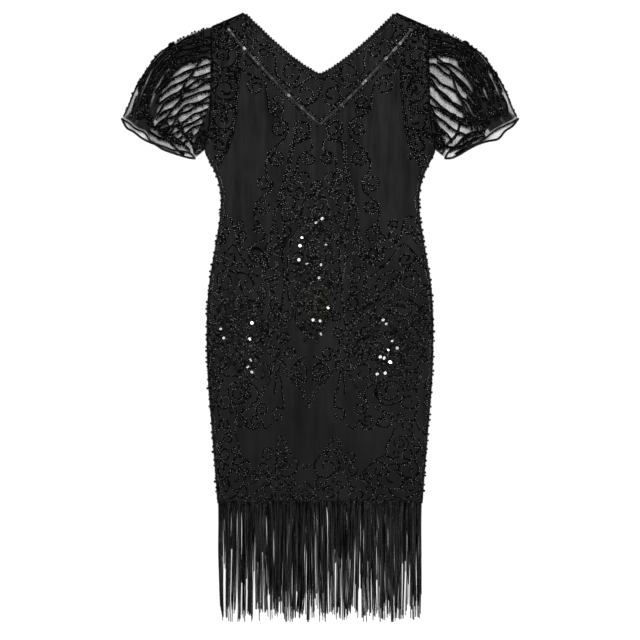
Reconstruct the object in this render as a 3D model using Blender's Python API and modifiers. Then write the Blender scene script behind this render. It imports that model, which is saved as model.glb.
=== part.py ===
"""A flapper dress laid flat on its back: a beaded net body, sheer puff sleeves and a fringed hem.

Metres, +Z up. The dress lies on the plane z = 0 with its neck towards +Y and its front upwards, and
the origin is under the middle of its outline. The wearer's left side is at +X.

Each panel is an open sheet, placed by its rows and columns, that Solidify turns into a wall. Sewn
edges of the front and the back come down to one level and stay a seam's gap apart there.
"""

import math

import bmesh
import bpy
import numpy as np

MM = 0.001

# Sizes of the whole dress.
LENGTH = 1127 * MM  # shoulder point to the tip of the longest strand
SHOULDER_POINT_X = 142 * MM
SHOULDER_POINT_Y = LENGTH / 2
NECK_BOTTOM_Y = 448.5 * MM
NECK_CURVE = 1.275  # above 1, the V neck's edges run flatter towards its point
SHOULDER_SLOPE = 0.44
TOP_HALF_WIDTH = 200 * MM
UNDERARM_Y = 309.5 * MM
ARMHOLE_OPENS = 12 * MM  # past the underarm, where the front's edge has left the back's
HEM_Y = -343 * MM

# Half of the body's width, up the side seam and then up the armhole.
HALF_WIDTHS = (
    # y, half width
    (-0.3450, 0.1890),
    (-0.2860, 0.1933),
    (-0.2410, 0.1970),
    (-0.1970, 0.2003),
    (-0.1520, 0.2043),
    (-0.1080, 0.2072),
    (-0.0640, 0.2088),
    (-0.0190, 0.2090),
    (0.0250, 0.2078),
    (0.0690, 0.2038),
    (0.1140, 0.1962),
    (0.1580, 0.1887),
    (0.1920, 0.1840),
    (0.2140, 0.1828),
    (0.2360, 0.1846),
    (0.2580, 0.1898),
    (0.2800, 0.1990),
    (0.3095, 0.2130),
    (0.3300, 0.2090),
    (0.3600, 0.2045),
    (0.4000, 0.2020),
    (0.4500, 0.2008),
    (0.5380, 0.2000),
)

# The walls, and the heights at which they lie.
PANEL_WALL = 1.2 * MM
SLEEVE_WALL = 1.4 * MM
SEAM_GAP = 0.3 * MM
SEAM_Z = 2.5 * MM  # where the front's sewn edges meet the back's
FRONT_TOP = 4.9 * MM  # the front's upper side away from its edges
NECK_EDGE_TOP = 4.5 * MM
HEM_EDGE_TOP = 4.5 * MM
NECK_FALL = 30 * MM  # how far from the neck the front starts to come down to the back
HEM_FALL = 60 * MM
BACK_NECK_DROP = 2.5 * MM

# The panels' grid. Rows run straight across up to the underarm, and then bend to the top edge.
NECK_COLUMNS = 10
SHOULDER_COLUMNS = 3
FRONT_STRAIGHT_ROWS = 18
BACK_STRAIGHT_ROWS = 8
STRAIGHT_ROWS_TO_Y = 262 * MM
UPPER_ROWS = (0.16, 0.30, 0.46, 0.64, 0.83, 1.0)
ROLL = 5 * MM  # how far in from a sewn edge the cloth turns over
ROLL_STEPS = (
    # inwards, inwards at the armhole's corner, share of its height if sewn, the same if loose
    (0.0 * MM, 0.0 * MM, 0.00, 0.86),
    (0.0 * MM, 1.0 * MM, 0.30, 1.00),
    (1.5 * MM, 2.6 * MM, 0.72, 1.00),
)

# Soft folds of the front. Each leans sideways by its lean from its low end to its high end.
FOLDS = (
    # x, y from, y to, lean, half width, height
    (-0.146, -0.325, -0.060, -0.004, 0.017, 0.0011),
    (-0.096, -0.330, -0.080, 0.014, 0.015, 0.0014),
    (-0.054, -0.335, -0.140, 0.004, 0.013, 0.0011),
    (-0.015, -0.320, -0.140, -0.003, 0.014, 0.0015),
    (0.047, -0.335, -0.130, -0.006, 0.015, 0.0017),
    (0.092, -0.330, -0.170, -0.012, 0.016, 0.0012),
    (0.140, -0.325, -0.090, 0.006, 0.016, 0.0014),
    (-0.104, 0.150, 0.390, -0.012, 0.014, 0.0011),
    (-0.142, 0.170, 0.420, -0.004, 0.014, 0.0014),
    (0.106, 0.160, 0.400, 0.010, 0.014, 0.0012),
    (0.146, 0.150, 0.380, 0.004, 0.014, 0.0015),
    (-0.040, -0.090, 0.110, 0.006, 0.018, 0.0011),
    (0.050, -0.080, 0.120, -0.004, 0.018, 0.0011),
)

# The sleeve at +X in plan: its upper fold from shoulder to cuff, its lower fold at the underarm.
SLEEVE_UPPER_FOLD = (
    # x, y
    (0.2003, 0.5375),
    (0.2360, 0.5255),
    (0.2745, 0.5050),
    (0.3000, 0.4865),
    (0.3210, 0.4575),
    (0.3360, 0.4340),
    (0.3470, 0.4110),
    (0.3560, 0.3880),
    (0.3660, 0.3685),
)
SLEEVE_LOWER_FOLD = (
    # x, y
    (0.2136, 0.3095),
    (0.2185, 0.3052),
    (0.2305, 0.2954),
)
CUFF_BULGE = 12 * MM  # how far the cuff's middle reaches past the line between its ends
FRONT_CUFF_SHORTER = 8 * MM
CUFF_WAVE = 2.2 * MM
CUFF_WAVES = 4.5
SLEEVE_ROWS = (
    # share of the way to the cuff, fold z, top z, height of the gathers
    (0.00, 0.0026, 0.0050, 0.0000),
    (0.08, 0.0027, 0.0051, 0.0009),
    (0.20, 0.0028, 0.0053, 0.0010),
    (0.36, 0.0029, 0.0054, 0.0008),
    (0.54, 0.0029, 0.0054, 0.0007),
    (0.72, 0.0029, 0.0053, 0.0008),
    (0.88, 0.0028, 0.0052, 0.0010),
    (1.00, 0.0027, 0.0050, 0.0011),
)
GATHERS = 8
FOLD_TURN = (0.0, 0.006, 0.025, 0.055)  # the front's points at a fold, as shares of the width
BACK_FOLD_TURN = (0.012, 0.045)
FRONT_SLEEVE_POINTS = 25
BACK_SLEEVE_POINTS = 6

# Cords and trims.
EDGING_RADIUS = 1.2 * MM
EDGING_FRONT_Z = 3.75 * MM
EDGING_BACK_Z = 1.35 * MM
EDGING_SHORTER = 3.5 * MM  # at the shoulder points, where the neck's cord ends
CUFF_EDGING_RADIUS = 0.9 * MM
CUFF_EDGING_OFF = 2.1 * MM
CHEVRON_PATH = (
    # x, y
    (0.0000, 0.3560),
    (0.0437, 0.3963),
    (0.0807, 0.4333),
    (0.1177, 0.4735),
    (0.1500, 0.5085),
    (0.1690, 0.5330),
)
CHEVRON_WIDTH = 11 * MM
CHEVRON_WALL = 1.0 * MM
CHEVRON_LIFT = 0.45 * MM
CHEVRON_STEPS = 14

# The fringe: two rows of strands, each on a narrow heading just past the hem.
STRANDS = 80
HEADING_DEPTH = 7 * MM
HEADING_WALL = 1.2 * MM
STRAND_SHARE = 0.56  # of the pitch that a strand's root fills
STRAND_TIP_SHARE = 0.75  # of the root's width that is left at the tip
LONGEST_STRAND = LENGTH / 2 + HEM_Y - SEAM_GAP - HEADING_DEPTH
SHORTEST_STRAND = LONGEST_STRAND - 27 * MM
STRAND_SWAY = 3.0 * MM
FRINGES = (
    # name, half width, root z, tip z, seed
    ("fringe_front", 0.1870, 0.0036, 0.0025, 5),
    ("fringe_back", 0.1865, 0.0010, 0.0010, 11),
)

NET_BLACK = (0.017, 0.017, 0.018, 1.0)
SHEER_BLACK = (0.030, 0.030, 0.031, 1.0)
BEAD_BLACK = (0.008, 0.008, 0.009, 1.0)
BUGLE_GREY = (0.16, 0.16, 0.16, 1.0)


def smooth(share):
    """0 to 1 with level ends."""
    s = np.clip(share, 0.0, 1.0)
    return s * s * (3 - 2 * s)


def through(table, at):
    """The table's later columns at `at`, on smooth curves through its rows."""
    rows = np.array(table, float)
    xs, ys = rows[:, 0], rows[:, 1:]
    slopes = np.gradient(ys, xs, axis=0)
    at = np.clip(np.atleast_1d(at), xs[0], xs[-1])
    i = np.clip(np.searchsorted(xs, at) - 1, 0, len(xs) - 2)
    step = (xs[i + 1] - xs[i])[:, None]
    t = ((at - xs[i]) / (xs[i + 1] - xs[i]))[:, None]
    start = ys[i] * (1 + 2 * t) * (1 - t) ** 2 + slopes[i] * step * t * (1 - t) ** 2
    end = ys[i + 1] * (3 - 2 * t) * t**2 + slopes[i + 1] * step * (t - 1) * t**2
    return start + end


def along_path(points, shares):
    """Points at these shares of a smooth path's length."""
    points = np.array(points, float)
    chords = np.linalg.norm(np.diff(points, axis=0), axis=1)
    at = np.concatenate([[0.0], np.cumsum(chords)]) / chords.sum()
    return through(np.column_stack([at, points]), shares)


def beside(path, distance):
    """A plan path moved to its left by this distance, with mitred corners."""
    run = np.diff(path, axis=0)
    run /= np.linalg.norm(run, axis=1)[:, None]
    left = np.column_stack([-run[:, 1], run[:, 0]])
    before = np.vstack([left[:1], left])
    after = np.vstack([left, left[-1:]])
    square = 1 + (before * after).sum(axis=1)
    return path + distance * (before + after) / square[:, None]


def mirrored(half, sign):
    """Rows of the +X half as whole rows from -X to +X. sign is -1 for x and 1 for the rest."""
    return np.concatenate([half[:, :0:-1] * sign, half], axis=1)


def half_width(y):
    return through(HALF_WIDTHS, np.ravel(y))[:, 0].reshape(np.shape(y))


def neck_edge_y(x):
    """The V neck's edge."""
    share = np.minimum(np.abs(x) / SHOULDER_POINT_X, 1.0)
    return NECK_BOTTOM_Y + (SHOULDER_POINT_Y - NECK_BOTTOM_Y) * share**NECK_CURVE


def top_edge_y(x):
    """The V neck's edge, and past the shoulder points the shoulder seams."""
    beyond = np.maximum(np.abs(x) - SHOULDER_POINT_X, 0.0)
    return neck_edge_y(x) - SHOULDER_SLOPE * beyond


def from_neck(x, y):
    """Roughly how far a point lies from the neck's edge."""
    down = np.maximum(neck_edge_y(x) - y, 0.0) * 0.75
    return np.hypot(down, np.maximum(np.abs(x) - SHOULDER_POINT_X, 0.0))


def eased(distance, reach, least):
    """From `least` at an edge to 1 at `reach` from it."""
    return least + (1 - least) * smooth(distance / reach)


def folds_at(x, y):
    """Height of the soft folds over a point of the front."""
    height = np.zeros_like(x)
    for foot_x, low_y, high_y, lean, spread, most in FOLDS:
        share = np.clip((y - low_y) / (high_y - low_y), 0.0, 1.0)
        ridge = np.exp(-(((x - foot_x - lean * share) / spread) ** 2))
        height += most * ridge * np.sin(math.pi * share) ** 0.8
    return height


def front_height(x, y, rise):
    """The front's upper side. rise is 0 at a sewn edge and 1 inside its roll."""
    low = SEAM_Z + SEAM_GAP / 2
    full = FRONT_TOP - low
    neck = eased(from_neck(x, y), NECK_FALL, (NECK_EDGE_TOP - low) / full)
    hem = eased(y - HEM_Y, HEM_FALL, (HEM_EDGE_TOP - low) / full)
    return low + rise * (full * np.minimum(neck, hem) + folds_at(x, y) * neck)


def back_height(rise):
    """The back's underside: flat on the ground, and turned up to the sewn edges."""
    return (SEAM_Z - SEAM_GAP / 2) * (1 - rise)


def column_shares():
    """Shares across half a panel: evenly to the shoulder point's column, then on to the roll."""
    corner = SHOULDER_POINT_X / (TOP_HALF_WIDTH - ROLL)
    near = np.linspace(0, corner, NECK_COLUMNS + 1)
    far = np.linspace(corner, 1, SHOULDER_COLUMNS + 1)[1:]
    return np.concatenate([near, far])


def panel_half(straight_rows, neck_drop):
    """x, y and rise of the +X half of a panel, in rows from hem to top."""
    roll, corner_roll, sewn_rise, loose_rise = np.array(ROLL_STEPS)[::-1].T
    share = column_shares()
    inner, edge = len(share), len(ROLL_STEPS)
    inside = np.arange(inner + edge) < inner
    corner = np.arange(inner + edge) == inner + edge - 1
    share = np.append(share, np.ones(edge))
    inwards = np.append(np.full(inner, ROLL), roll)

    top_x = np.where(inside, share * (TOP_HALF_WIDTH - ROLL), TOP_HALF_WIDTH - inwards)
    shoulder = top_x > SHOULDER_POINT_X * 1.001
    top_y = top_edge_y(top_x) - np.where(shoulder, 0.0, neck_drop)
    level = np.linspace(HEM_Y, STRAIGHT_ROWS_TO_Y, straight_rows)
    rows = [np.full(inner + edge, y) for y in level]
    rows += [level[-1] + (top_y - ROLL - level[-1]) * share_up for share_up in UPPER_ROWS]
    rises = [np.ones(inner + edge)] * len(rows)
    for step in range(edge):
        rows.append(top_y - np.where(corner, corner_roll[step], roll[step]))
        rises.append(np.where(shoulder & inside, sewn_rise[step], loose_rise[step]))

    y = np.array(rows)
    width = half_width(y)
    x = np.where(inside, share * (width - ROLL), width - inwards)
    loose = smooth((y - UNDERARM_Y) / ARMHOLE_OPENS)
    side_rise = np.append(np.ones(inner), sewn_rise) * (1 - loose)
    side_rise += np.append(np.ones(inner), loose_rise) * loose
    return x, y, side_rise * np.array(rises)


def armhole_x(y):
    """The panels' armhole edge, which is straight from one of their rows to the next."""
    edge_x, edge_y, _ = panel_half(FRONT_STRAIGHT_ROWS, 0.0)
    return np.interp(y, edge_y[:, -1], edge_x[:, -1])


def neck_path(neck_drop):
    """The neck's edge in plan, through the panels' columns."""
    x = column_shares()[: NECK_COLUMNS + 1] * (TOP_HALF_WIDTH - ROLL)
    x[-1] -= EDGING_SHORTER
    x = np.concatenate([-x[:0:-1], x])
    return np.column_stack([x, neck_edge_y(x) - neck_drop])


def material(name, colour, roughness):
    made = bpy.data.materials.new(name)
    made.use_nodes = True
    surface = made.node_tree.nodes["Principled BSDF"]
    surface.inputs["Base Color"].default_value = colour
    surface.inputs["Roughness"].default_value = roughness
    surface.inputs["Metallic"].default_value = 0.0
    return made


def add_object(name, data, finish, collection):
    data.materials.append(finish)
    made = bpy.data.objects.new(name, data)
    collection.objects.link(made)
    return made


def sheet_mesh(name, points, closed_across=False, flip=False):
    """A mesh of quads over rows and columns of points."""
    rows, columns = points.shape[:2]
    bm = bmesh.new()
    grid = [[bm.verts.new(point) for point in row] for row in points]
    across = columns if closed_across else columns - 1
    for i in range(rows - 1):
        for j in range(across):
            k = (j + 1) % columns
            corners = (grid[i][j], grid[i][k], grid[i + 1][k], grid[i + 1][j])
            bm.faces.new(corners[::-1] if flip else corners)
    mesh = bpy.data.meshes.new(name)
    bm.to_mesh(mesh)
    bm.free()
    mesh.shade_smooth()
    return mesh


def solidify(obj, wall):
    """Gives an open sheet its wall, inwards from the side its faces point to."""
    made = obj.modifiers.new("wall", "SOLIDIFY")
    made.thickness = wall
    made.offset = -1
    made.use_rim = True


def add_cord(name, points, radius, sides_step, cyclic, finish, collection):
    """A tube along these points. sides_step 0 gives it 4 sides and 1 gives it 6."""
    curve = bpy.data.curves.new(name, "CURVE")
    curve.dimensions = "3D"
    curve.bevel_depth = radius
    curve.bevel_resolution = sides_step
    curve.use_fill_caps = True
    spline = curve.splines.new("POLY")
    spline.points.add(len(points) - 1)
    for point, place in zip(spline.points, points):
        point.co = (*place, 1)
    spline.use_cyclic_u = cyclic
    add_object(name, curve, finish, collection)


def make_front(finish, collection):
    x, y, rise = panel_half(FRONT_STRAIGHT_ROWS, 0.0)
    x, y, rise = mirrored(x, -1), mirrored(y, 1), mirrored(rise, 1)
    mesh = sheet_mesh("front_panel", np.dstack([x, y, front_height(x, y, rise)]))
    solidify(add_object("front_panel", mesh, finish, collection), PANEL_WALL)


def make_back(finish, collection):
    x, y, rise = panel_half(BACK_STRAIGHT_ROWS, BACK_NECK_DROP)
    x, y, rise = mirrored(x, -1), mirrored(y, 1), mirrored(rise, 1)
    mesh = sheet_mesh("back_panel", np.dstack([x, y, back_height(rise)]), flip=True)
    solidify(add_object("back_panel", mesh, finish, collection), PANEL_WALL)


def cuff_outward():
    """The plan direction in which the +X cuff faces."""
    across = np.subtract(SLEEVE_UPPER_FOLD[-1], SLEEVE_LOWER_FOLD[-1])
    return np.array([across[1], -across[0]]) / np.linalg.norm(across)


def sleeve_plan(across, along, layer):
    """Points of the +X sleeve in plan. across runs from the upper fold (0) to the lower (1)."""
    upper = along_path(SLEEVE_UPPER_FOLD, along)[0]
    lower = along_path(SLEEVE_LOWER_FOLD, along)[0]
    shoulder, underarm = np.array(SLEEVE_UPPER_FOLD[0]), np.array(SLEEVE_LOWER_FOLD[0])
    straight = shoulder + np.outer(across, underarm - shoulder)
    seam_x = armhole_x(straight[:, 1]) + SEAM_GAP
    point = upper + np.outer(across, lower - upper)
    point[:, 0] += (seam_x - straight[:, 0]) * (1 - along)
    middle = np.sin(math.pi * across)
    start = 2.0 if layer == "front" else 0.3
    reach = (CUFF_BULGE + CUFF_WAVE * np.sin(math.tau * CUFF_WAVES * across + start)) * middle
    if layer == "front":
        reach -= FRONT_CUFF_SHORTER * middle**0.6
    return point + np.outer(reach * along**3, cuff_outward())


def sleeve_row(along, fold_z, top_z, gather_height):
    """A ring round the +X sleeve: over the front from fold to fold, then home along the back."""
    turn, back_turn = np.array(FOLD_TURN), np.array(BACK_FOLD_TURN)
    front = np.linspace(0.09, 0.91, FRONT_SLEEVE_POINTS)
    front = np.concatenate([turn, front, 1 - turn[::-1]])
    back = np.linspace(0.85, 0.15, BACK_SLEEVE_POINTS)
    back = np.concatenate([1 - back_turn, back, back_turn[::-1]])
    dome = (1 - np.abs(2 * front - 1) ** 2.6) ** 0.55
    gather = np.sin(math.tau * GATHERS * front + 0.8) * np.sin(math.pi * front) ** 0.5
    z = fold_z + (top_z - fold_z) * dome + gather_height * gather
    from_fold = np.minimum(np.minimum(back, 1 - back) / BACK_FOLD_TURN[-1], 1.0)
    back_z = fold_z * (1 - np.sqrt(1 - (1 - from_fold) ** 2))
    upper = np.column_stack([sleeve_plan(front, along, "front"), z])
    lower = np.column_stack([sleeve_plan(back, along, "back"), back_z])
    return upper, lower


def make_sleeve(name, side, finish, collection):
    rows = [np.concatenate(sleeve_row(*row)) for row in SLEEVE_ROWS]
    mesh = sheet_mesh(name, np.array(rows) * (side, 1, 1), closed_across=True, flip=side < 0)
    solidify(add_object(name, mesh, finish, collection), SLEEVE_WALL)


def make_cuff_edging(name, side, finish, collection):
    """A beaded cord all round the cuff, just past its edge and level with its wall's middle."""
    upper, lower = sleeve_row(*SLEEVE_ROWS[-1])
    upper[:, 2] -= SLEEVE_WALL / 2
    lower[:, 2] += CUFF_EDGING_RADIUS + 0.1 * MM
    points = np.concatenate([upper, lower])
    points[:, :2] += cuff_outward() * CUFF_EDGING_OFF
    add_cord(name, points * (side, 1, 1), CUFF_EDGING_RADIUS, 0, True, finish, collection)


def make_neck_edging(name, height, neck_drop, finish, collection):
    """A beaded cord just past the V neck's edge, from one shoulder point to the other."""
    path = beside(neck_path(neck_drop), SEAM_GAP + EDGING_RADIUS)
    points = np.column_stack([path, np.full(len(path), height)])
    add_cord(name, points, EDGING_RADIUS, 1, False, finish, collection)


def make_chevron(finish, collection):
    """A strip of bugle beads on the yoke, laid on the front as a V."""
    leg = along_path(CHEVRON_PATH, np.linspace(0, 1, CHEVRON_STEPS))
    path = np.concatenate([leg[:0:-1] * (-1, 1), leg])
    edges = [beside(path, CHEVRON_WIDTH * share) for share in (-0.5, 0.5)]
    x, y = np.stack(edges).transpose(2, 0, 1)
    top = front_height(x, y, np.ones_like(x)) + CHEVRON_LIFT + CHEVRON_WALL
    mesh = sheet_mesh("chevron_trim", np.dstack([x, y, top]))
    solidify(add_object("chevron_trim", mesh, finish, collection), CHEVRON_WALL)


def strand_sway_and_length(number, jitter):
    drift = math.sin(number * 0.21 + jitter[0]) + 0.6 * math.sin(number * 0.083 + jitter[1])
    share = 0.5 + 0.3 * math.sin(number * 0.37 + jitter[2]) + 0.2 * math.sin(number * 1.7)
    length = SHORTEST_STRAND + (LONGEST_STRAND - SHORTEST_STRAND) * share
    return STRAND_SWAY * drift / 1.6, length


def draw_strand(bm, face, sway, length, drop):
    """Draws one face of the heading out into a strand that narrows, sways and sinks."""
    root = face.calc_center_median()
    face = bmesh.ops.extrude_discrete_faces(bm, faces=[face])["faces"][0]
    for vert in face.verts:
        corner = (vert.co - root) * STRAND_TIP_SHARE
        vert.co = (root.x + corner.x + sway, root.y - length, root.z + corner.z + drop)


def make_fringe(name, half_wide, root_z, tip_z, seed, finish, collection):
    """A heading with strands drawn out of its lower side, one from every other cell."""
    pitch = 2 * half_wide / STRANDS
    edges = [-half_wide]
    for number in range(STRANDS):
        left = -half_wide + pitch * (number + (1 - STRAND_SHARE) / 2)
        edges += [left, left + pitch * STRAND_SHARE]
    edges.append(half_wide)
    top = HEM_Y - SEAM_GAP
    upper_z = root_z + HEADING_WALL / 2
    bm = bmesh.new()
    low = [bm.verts.new((x, top - HEADING_DEPTH, upper_z)) for x in edges]
    high = [bm.verts.new((x, top, upper_z)) for x in edges]
    for i in range(len(edges) - 1):
        bm.faces.new((low[i], low[i + 1], high[i + 1], high[i]))
    bm.normal_update()
    bmesh.ops.solidify(bm, geom=bm.faces[:], thickness=HEADING_WALL)
    bmesh.ops.recalc_face_normals(bm, faces=bm.faces[:])

    below = sorted(
        (f for f in bm.faces if f.normal.y < -0.9),
        key=lambda f: f.calc_center_median().x,
    )
    jitter = np.random.default_rng(seed).uniform(0, math.tau, 3)
    strands = [strand_sway_and_length(number, jitter) for number in range(STRANDS)]
    most = max(length for _, length in strands)
    for face, (sway, length) in zip(below[1::2], strands):
        draw_strand(bm, face, sway, length * LONGEST_STRAND / most, tip_z - root_z)
    mesh = bpy.data.meshes.new(name)
    bm.to_mesh(mesh)
    bm.free()
    add_object(name, mesh, finish, collection)


def main():
    for obj in list(bpy.data.objects):
        bpy.data.objects.remove(obj)
    dress = bpy.data.collections.new("flapper_dress")
    bpy.context.scene.collection.children.link(dress)
    net = material("beaded_net", NET_BLACK, 0.8)
    sheer = material("sheer_net", SHEER_BLACK, 0.7)
    beads = material("jet_beads", BEAD_BLACK, 0.15)
    bugles = material("bugle_beads", BUGLE_GREY, 0.2)
    make_back(net, dress)
    make_front(net, dress)
    for side_name, side in (("left", 1), ("right", -1)):
        make_sleeve(f"sleeve_{side_name}", side, sheer, dress)
        make_cuff_edging(f"cuff_edging_{side_name}", side, beads, dress)
    make_neck_edging("neck_edging_front", EDGING_FRONT_Z, 0.0, beads, dress)
    make_neck_edging("neck_edging_back", EDGING_BACK_Z, BACK_NECK_DROP, beads, dress)
    make_chevron(bugles, dress)
    for name, half_wide, root_z, tip_z, seed in FRINGES:
        make_fringe(name, half_wide, root_z, tip_z, seed, beads, dress)


main()
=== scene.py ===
"""Looks of a black flapper dress laid flat: beaded net, sheer puff sleeves, sequins and long fringe.

Metres, +Z up. The dress lies on z = 0 with its neck towards +Y and its front upwards.
"""

import math

import bmesh
import bpy
import numpy as np
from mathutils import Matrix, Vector
from mathutils.kdtree import KDTree


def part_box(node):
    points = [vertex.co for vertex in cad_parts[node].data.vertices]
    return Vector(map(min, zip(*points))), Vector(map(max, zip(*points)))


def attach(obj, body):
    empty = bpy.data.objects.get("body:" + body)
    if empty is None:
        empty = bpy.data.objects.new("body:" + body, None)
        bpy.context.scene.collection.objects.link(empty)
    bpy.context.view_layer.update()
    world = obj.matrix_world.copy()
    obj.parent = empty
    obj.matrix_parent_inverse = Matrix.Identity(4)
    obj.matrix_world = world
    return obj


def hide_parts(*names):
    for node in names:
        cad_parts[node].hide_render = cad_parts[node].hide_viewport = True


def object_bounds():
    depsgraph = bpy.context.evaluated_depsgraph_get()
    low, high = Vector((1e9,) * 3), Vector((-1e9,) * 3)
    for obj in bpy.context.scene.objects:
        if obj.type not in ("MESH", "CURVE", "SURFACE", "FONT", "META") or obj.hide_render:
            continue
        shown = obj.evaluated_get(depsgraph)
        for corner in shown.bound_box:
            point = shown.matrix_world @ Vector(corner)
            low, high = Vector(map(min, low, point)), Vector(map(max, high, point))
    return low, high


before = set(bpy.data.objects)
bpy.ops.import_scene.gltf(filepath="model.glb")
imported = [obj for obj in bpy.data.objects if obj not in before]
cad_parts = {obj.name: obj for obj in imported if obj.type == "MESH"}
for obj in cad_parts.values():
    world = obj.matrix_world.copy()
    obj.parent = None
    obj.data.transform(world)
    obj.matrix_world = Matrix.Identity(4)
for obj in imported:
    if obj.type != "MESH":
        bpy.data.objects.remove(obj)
cad_low, cad_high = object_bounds()

MM = 0.001
BODY = "root"

# ------------------------------------------------------------------ sizes of the dress
LENGTH = cad_high.y - cad_low.y
SHOULDER_POINT_X = 142 * MM
SHOULDER_POINT_Y = LENGTH / 2
NECK_BOTTOM_Y = 448.5 * MM
NECK_CURVE = 1.275
SHOULDER_SLOPE = 0.44
TOP_HALF_WIDTH = 200 * MM
UNDERARM_Y = 309.5 * MM
ARMHOLE_OPENS = 12 * MM
HEM_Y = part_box("front_panel")[0][1]
BACK_NECK_DROP = 2.5 * MM
ROLL = 5 * MM

HALF_WIDTHS = (
    # y, half of the body's width
    (-0.3450, 0.1890),
    (-0.2860, 0.1933),
    (-0.2410, 0.1970),
    (-0.1970, 0.2003),
    (-0.1520, 0.2043),
    (-0.1080, 0.2072),
    (-0.0640, 0.2088),
    (-0.0190, 0.2090),
    (0.0250, 0.2078),
    (0.0690, 0.2038),
    (0.1140, 0.1962),
    (0.1580, 0.1887),
    (0.1920, 0.1840),
    (0.2140, 0.1828),
    (0.2360, 0.1846),
    (0.2580, 0.1898),
    (0.2800, 0.1990),
    (0.3095, 0.2130),
    (0.3300, 0.2090),
    (0.3600, 0.2045),
    (0.4000, 0.2020),
    (0.4500, 0.2008),
    (0.5380, 0.2000),
)

# Heights at which the cloth lies.
SEAM_Z = 2.5 * MM
SEAM_GAP = 0.3 * MM
FRONT_TOP = 4.9 * MM
NECK_EDGE_TOP = 4.5 * MM
HEM_EDGE_TOP = 4.5 * MM
NECK_FALL = 30 * MM
HEM_FALL = 60 * MM
BACK_WALL = 1.2 * MM
CLOTH = 0.5 * MM

FOLDS = (
    # x, y from, y to, lean, half width, height
    (-0.146, -0.325, -0.060, -0.004, 0.017, 0.0011),
    (-0.096, -0.330, -0.080, 0.014, 0.015, 0.0014),
    (-0.054, -0.335, -0.140, 0.004, 0.013, 0.0011),
    (-0.015, -0.320, -0.140, -0.003, 0.014, 0.0015),
    (0.047, -0.335, -0.130, -0.006, 0.015, 0.0017),
    (0.092, -0.330, -0.170, -0.012, 0.016, 0.0012),
    (0.140, -0.325, -0.090, 0.006, 0.016, 0.0014),
    (-0.104, 0.150, 0.390, -0.012, 0.014, 0.0011),
    (-0.142, 0.170, 0.420, -0.004, 0.014, 0.0014),
    (0.106, 0.160, 0.400, 0.010, 0.014, 0.0012),
    (0.146, 0.150, 0.380, 0.004, 0.014, 0.0015),
    (-0.040, -0.090, 0.110, 0.006, 0.018, 0.0011),
    (0.050, -0.080, 0.120, -0.004, 0.018, 0.0011),
)

# Narrower creases that only the cloth has.
CREASES = (
    # x, y from, y to, lean, half width, height
    (-0.158, 0.150, 0.330, -0.003, 0.0040, 0.00030),
    (-0.133, 0.190, 0.400, -0.006, 0.0035, 0.00034),
    (-0.121, 0.120, 0.300, -0.004, 0.0040, -0.00030),
    (-0.112, 0.230, 0.420, -0.005, 0.0035, 0.00030),
    (0.097, 0.200, 0.400, 0.007, 0.0035, 0.00030),
    (0.118, 0.140, 0.350, 0.004, 0.0040, -0.00032),
    (0.131, 0.180, 0.410, 0.005, 0.0035, 0.00034),
    (0.160, 0.150, 0.300, 0.002, 0.0040, 0.00030),
    (-0.078, -0.320, -0.130, 0.020, 0.0045, 0.00045),
    (-0.066, -0.300, -0.150, 0.010, 0.0035, -0.00035),
    (-0.033, -0.300, -0.160, 0.003, 0.0040, 0.00045),
    (-0.024, -0.260, -0.140, -0.002, 0.0035, -0.00035),
    (0.004, -0.310, -0.150, 0.001, 0.0040, 0.00040),
    (0.020, -0.270, -0.140, -0.003, 0.0035, -0.00035),
    (0.034, -0.320, -0.120, -0.005, 0.0040, 0.00050),
    (0.062, -0.300, -0.150, -0.010, 0.0045, 0.00045),
    (0.076, -0.330, -0.180, -0.014, 0.0035, -0.00040),
    (-0.118, -0.330, -0.170, 0.012, 0.0040, 0.00040),
    (0.121, -0.330, -0.160, 0.004, 0.0040, 0.00040),
    (-0.168, -0.300, -0.160, -0.002, 0.0040, 0.00035),
    (0.166, -0.300, -0.150, 0.004, 0.0040, 0.00035),
)

# The sleeve at +X in plan, its upper fold and its lower fold.
SLEEVE_UPPER_FOLD = (
    # x, y
    (0.2003, 0.5375),
    (0.2360, 0.5255),
    (0.2745, 0.5050),
    (0.3000, 0.4865),
    (0.3210, 0.4575),
    (0.3360, 0.4340),
    (0.3470, 0.4110),
    (0.3560, 0.3880),
    (0.3660, 0.3685),
)
SLEEVE_LOWER_FOLD = (
    # x, y
    (0.2136, 0.3095),
    (0.2185, 0.3052),
    (0.2305, 0.2954),
)
CUFF_REACHES = (
    # share across, then how far the hem lies out from a straight cuff on the right sleeve's lower
    # and upper layer and on the left sleeve's lower and upper layer
    (0.00, 0.0000, 0.0000, 0.0000, 0.0000),
    (0.10, 0.0098, 0.0010, 0.0066, 0.0002),
    (0.20, 0.0106, 0.0040, 0.0080, -0.0006),
    (0.33, 0.0138, 0.0030, 0.0150, -0.0006),
    (0.43, 0.0134, 0.0104, 0.0104, 0.0020),
    (0.50, 0.0122, 0.0105, 0.0076, 0.0038),
    (0.60, 0.0134, 0.0085, 0.0056, 0.0034),
    (0.72, 0.0110, 0.0060, 0.0056, 0.0006),
    (0.85, 0.0072, -0.0015, 0.0064, -0.0056),
    (0.94, 0.0038, -0.0036, 0.0046, -0.0062),
    (1.00, 0.0000, 0.0000, 0.0000, 0.0000),
)
SLEEVE_HEIGHTS = (
    # share of the way to the cuff, fold z, top z, height of the gathers
    (0.00, 0.0026, 0.0050, 0.0000),
    (0.08, 0.0027, 0.0051, 0.0009),
    (0.20, 0.0028, 0.0053, 0.0010),
    (0.36, 0.0029, 0.0054, 0.0008),
    (0.54, 0.0029, 0.0054, 0.0007),
    (0.72, 0.0029, 0.0053, 0.0008),
    (0.88, 0.0028, 0.0052, 0.0010),
    (1.00, 0.0027, 0.0050, 0.0011),
)
GATHERS = 8
FOLD_TURN_SHARE = 0.045

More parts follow.
